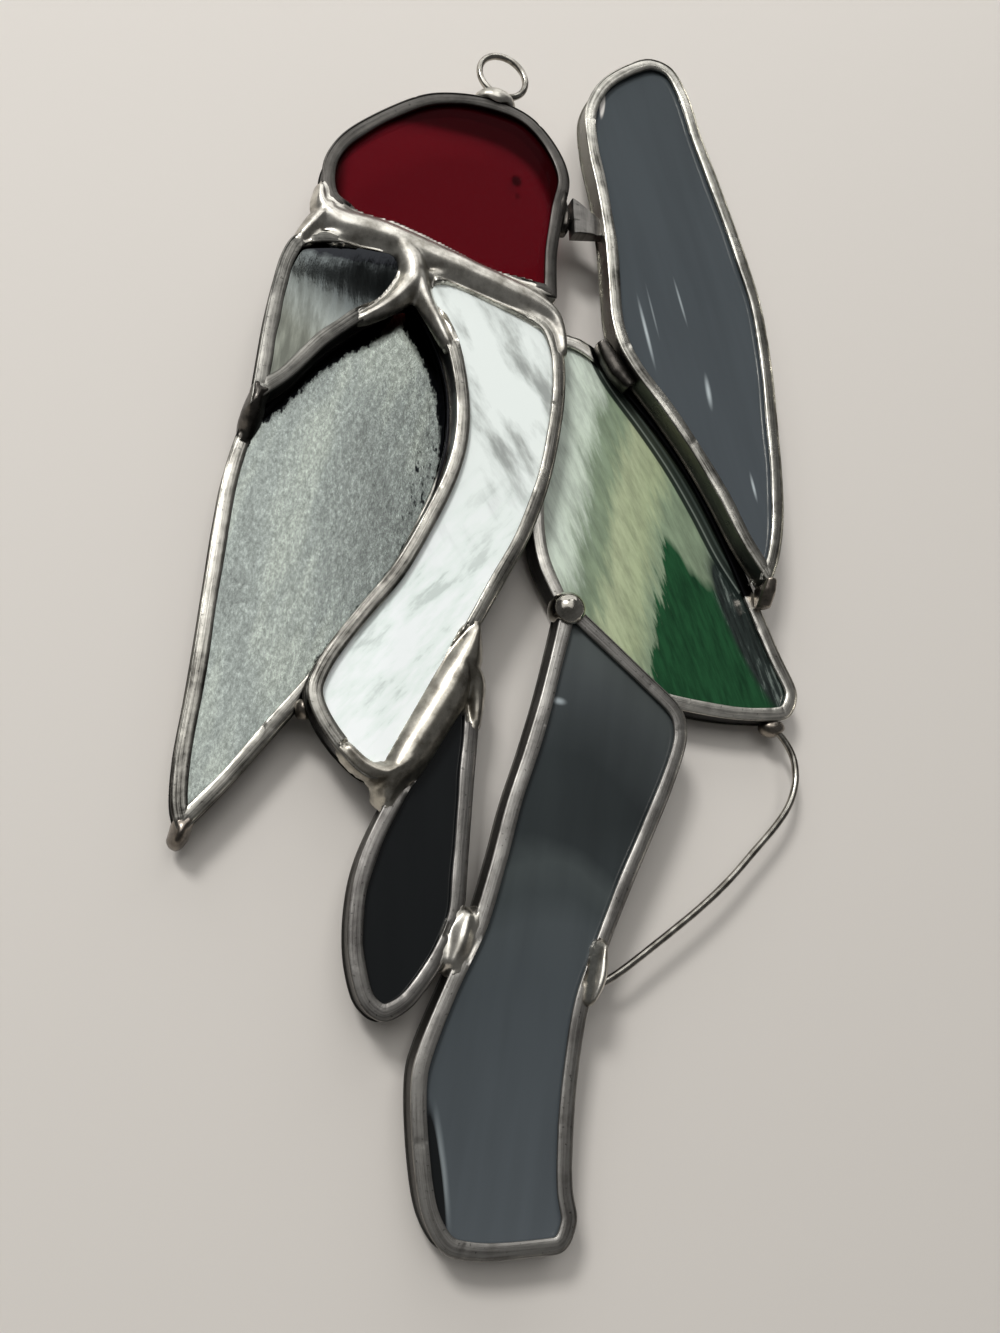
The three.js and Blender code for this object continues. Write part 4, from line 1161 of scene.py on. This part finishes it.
def solderLump(node, look):
    # a drop of solder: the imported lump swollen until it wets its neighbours, then melted smooth
    points, faces = mergedMesh(node)
    piece = newPiece(node.replace("solder_", "") + "_solder", [p * mm for p in points], faces,
                     solderMetals[look])
    swell = piece.modifiers.new("swell", "DISPLACE")
    swell.strength = solder["swell"] * mm
    swell.mid_level = 0
    voxels = piece.modifiers.new("voxels", "REMESH")
    voxels.mode = "VOXEL"
    voxels.voxel_size = solder["voxel"] * mm
    voxels.use_smooth_shade = True
    melt = piece.modifiers.new("melt", "SMOOTH")
    melt.iterations = solder["melt"]
    melt.factor = solder["meltShare"]
    piece.data = evaluatedMesh(piece)
    seat(piece, node)


for node, pour in pours.items():
    solderSkin(node, pour)
lumpLook = {"solder_ring_foot": "bright", "solder_wing_joint": "dull", "solder_ball": "drop",
            "solder_twig_leaf": "dull", "solder_leaf_top": "dark", "solder_trunk_tip": "dull"}
for node, look in lumpLook.items():
    solderLump(node, look)
print("solder poured")

# the ring's radius, and each wire's own radius, waver and seed. The twig runs down from the leaf to the
# trunk through listed x and z, starting at start in y and coming forward on its way.
ring = {"radius": 6.0, "wire": 0.8, "waver": 0.1, "seed": 2.0, "sides": 96}
twig = {"wire": 0.8, "waver": 0.12, "seed": 7.0, "start": 6.0, "forward": 3.2, "steps": 8, "route": [
    (62.6, -159.3), (65.6, -162.6), (67.5, -166.5), (67.7, -170.6), (66.7, -174.4), (64.4, -178.6),
    (60, -183.4), (54, -188.8), (47, -195), (39, -201), (28, -208.2), (20.5, -212.9), (15.8, -215.3),
    (13.2, -216)]}


def wireNodes():
    # a wire along a curve, with the waver of a hand-bent wire and a round section
    group = bpy.data.node_groups.new("hand_bent_wire", "GeometryNodeTree")
    group.interface.new_socket("Geometry", in_out="INPUT", socket_type="NodeSocketGeometry")
    groupInput(group, "Wire Radius", "NodeSocketFloat", 0.0008)
    groupInput(group, "Step", "NodeSocketFloat", 0.0005)
    groupInput(group, "Waver", "NodeSocketFloat", 0.0)
    groupInput(group, "Seed", "NodeSocketFloat", 4.0)
    groupInput(group, "Metal", "NodeSocketMaterial", None)
    group.interface.new_socket("Geometry", in_out="OUTPUT", socket_type="NodeSocketGeometry")
    given = addNode(group, "NodeGroupInput")
    even = addNode(group, "GeometryNodeResampleCurve", {"Curve": given.outputs["Geometry"],
                   "Length": given.outputs["Step"]}, mode="LENGTH")
    where = addNode(group, "GeometryNodeInputPosition")
    noise = addNode(group, "ShaderNodeTexNoise", {"Vector": where, "W": given.outputs["Seed"],
                    "Scale": 120.0, "Detail": 1.0}, noise_dimensions="4D")
    middle = addNode(group, "ShaderNodeVectorMath", {0: noise.outputs["Color"], 1: (0.5, 0.5, 0.5)},
                     operation="SUBTRACT")
    offset = addNode(group, "ShaderNodeVectorMath", {0: middle, "Scale": given.outputs["Waver"]},
                     operation="SCALE")
    bent = addNode(group, "GeometryNodeSetPosition", {"Geometry": even, "Offset": offset})
    section = addNode(group, "GeometryNodeCurvePrimitiveCircle",
                      {"Resolution": 16, "Radius": given.outputs["Wire Radius"]})
    swept = addNode(group, "GeometryNodeCurveToMesh", {"Curve": bent, "Profile Curve": section,
                    "Fill Caps": True})
    smooth = addNode(group, "GeometryNodeSetShadeSmooth", {"Geometry": swept})
    real = addNode(group, "GeometryNodeRealizeInstances", {"Geometry": smooth})
    dressed = addNode(group, "GeometryNodeSetMaterial",
                      {"Geometry": real, "Material": given.outputs["Metal"]})
    addNode(group, "NodeGroupOutput", {"Geometry": dressed})
    return group


def wirePiece(name, node, route, closed, wire):
    # a wire swept along a route through the tree of a hand-bent wire
    curve = bpy.data.curves.new(name, "CURVE")
    curve.dimensions = "3D"
    spline = curve.splines.new("POLY")
    spline.points.add(len(route) - 1)
    for point, spot in zip(spline.points, route):
        point.co = (*[c * mm for c in spot], 1)
    spline.use_cyclic_u = closed
    drawn = addObject(name + "_path", curve)
    mesh = grow(drawn, wireTree, {"Wire Radius": wire["wire"] * mm, "Waver": wire["waver"] * mm,
                                  "Seed": wire["seed"], "Metal": tinnedWire})
    bpy.data.objects.remove(drawn)
    seat(addObject(name, mesh), node)


def eased(points, steps):
    # a curve through given points, Catmull-Rom between them
    p = [2 * np.array(points[0]) - np.array(points[1])] + [np.array(q, float) for q in points]
    p.append(2 * p[-1] - p[-2])
    route = []
    for a, b, c, d in zip(p, p[1:], p[2:], p[3:]):
        for k in range(steps):
            t = k / steps
            cubic = (3 * b - a - 3 * c + d) * t**3
            route.append(0.5 * (2 * b + (c - a) * t + (2 * a - 5 * b + 4 * c - d) * t * t + cubic))
    return route + [p[-2]]


def drawnWire():
    # tinned copper wire: gray with the grease of handling, bright where it is rubbed
    material, tree = newMaterial("tinned_copper_wire")
    at = millimetres(tree)
    cloud = addNode(tree, "ShaderNodeTexNoise", {"Vector": at, "Scale": 0.35, "Detail": 4})
    base = ramp(tree, cloud.outputs["Fac"], [(0.38, "#77736b"), (0.62, "#b0aca3")])
    finishMaterial(tree, addNode(tree, "ShaderNodeBsdfPrincipled", {
        "Base Color": base, "Metallic": 1.0, "Roughness": 0.22}))
    return material


tinnedWire = drawnWire()
wireTree = wireNodes()
ringRoute = [(ring["radius"] * math.sin(a), 0, ring["radius"] * math.cos(a))
             for a in np.linspace(0, 2 * math.pi, ring["sides"], endpoint=False)]
wirePiece("jump_ring", "hanging_ring", ringRoute, True, ring)
last = len(twig["route"]) - 1
twigRoute = [(x, twig["start"] - twig["forward"] * i / last, z) for i, (x, z) in enumerate(twig["route"])]
wirePiece("twig", "twig_wire", eased(twigRoute, twig["steps"]), False, twig)

# the beak's outline in x and z, the middle it narrows towards, and its sections' y and narrowing
beak = {"outline": [(16.4, -32.6), (19.8, -33.6), (24.2, -36.4), (24.2, -40.9), (16.4, -42.4)],
        "middle": (20, -37.5), "sections": [(1.6, 0.0), (-1.2, 0.0), (-1.6, 0.036)], "cuts": 5,
        "foldDeep": 0.9, "rippleDeep": 0.15, "hardEdge": 35}


def beakBar(material):
    # the beak: a short bar of lead folded once, its left half standing proud of the right
    outline, (middleX, middleZ) = beak["outline"], beak["middle"]
    count = len(outline)
    mesh = bmesh.new()
    rings = []
    for y, inset in beak["sections"]:
        section = [(x + (middleX - x) * inset, y, z + (middleZ - z) * inset) for x, z in outline]
        rings.append([mesh.verts.new([c * mm for c in spot]) for spot in section])
    for lower, upper in zip(rings, rings[1:]):
        for k in range(count):
            mesh.faces.new((lower[k], lower[(k + 1) % count], upper[(k + 1) % count], upper[k]))
    mesh.faces.new(rings[-1])
    mesh.faces.new(reversed(rings[0]))
    bmesh.ops.recalc_face_normals(mesh, faces=mesh.faces)
    bmesh.ops.subdivide_edges(mesh, edges=mesh.edges, cuts=beak["cuts"], use_grid_fill=True)
    for vertex in mesh.verts:
        x, y, z = [c / mm for c in vertex.co]
        if y < 0:
            fold = soften(-0.5, 0.5, (x - 20.4) + 0.35 * (z + 38))
            vertex.co.y += (beak["foldDeep"] * fold - beak["rippleDeep"] * math.sin(x * 1.7 + z)) * mm
    data = bpy.data.meshes.new("beak_bar")
    mesh.to_mesh(data)
    mesh.free()
    data.materials.append(material)
    piece = addObject("beak_bar", data)
    layer = piece.data.uv_layers.new(name="strip")
    for loop in piece.data.loops:
        co = piece.data.vertices[loop.vertex_index].co / mm
        layer.data[loop.index].uv = (co.z, 4.5 + 0.3 * co.x)  # the mill's lines run along z
    sharpen(piece, beak["hardEdge"])
    seat(piece, "beak")


beakBar(leads["dark"])
print("ring, twig and beak made")
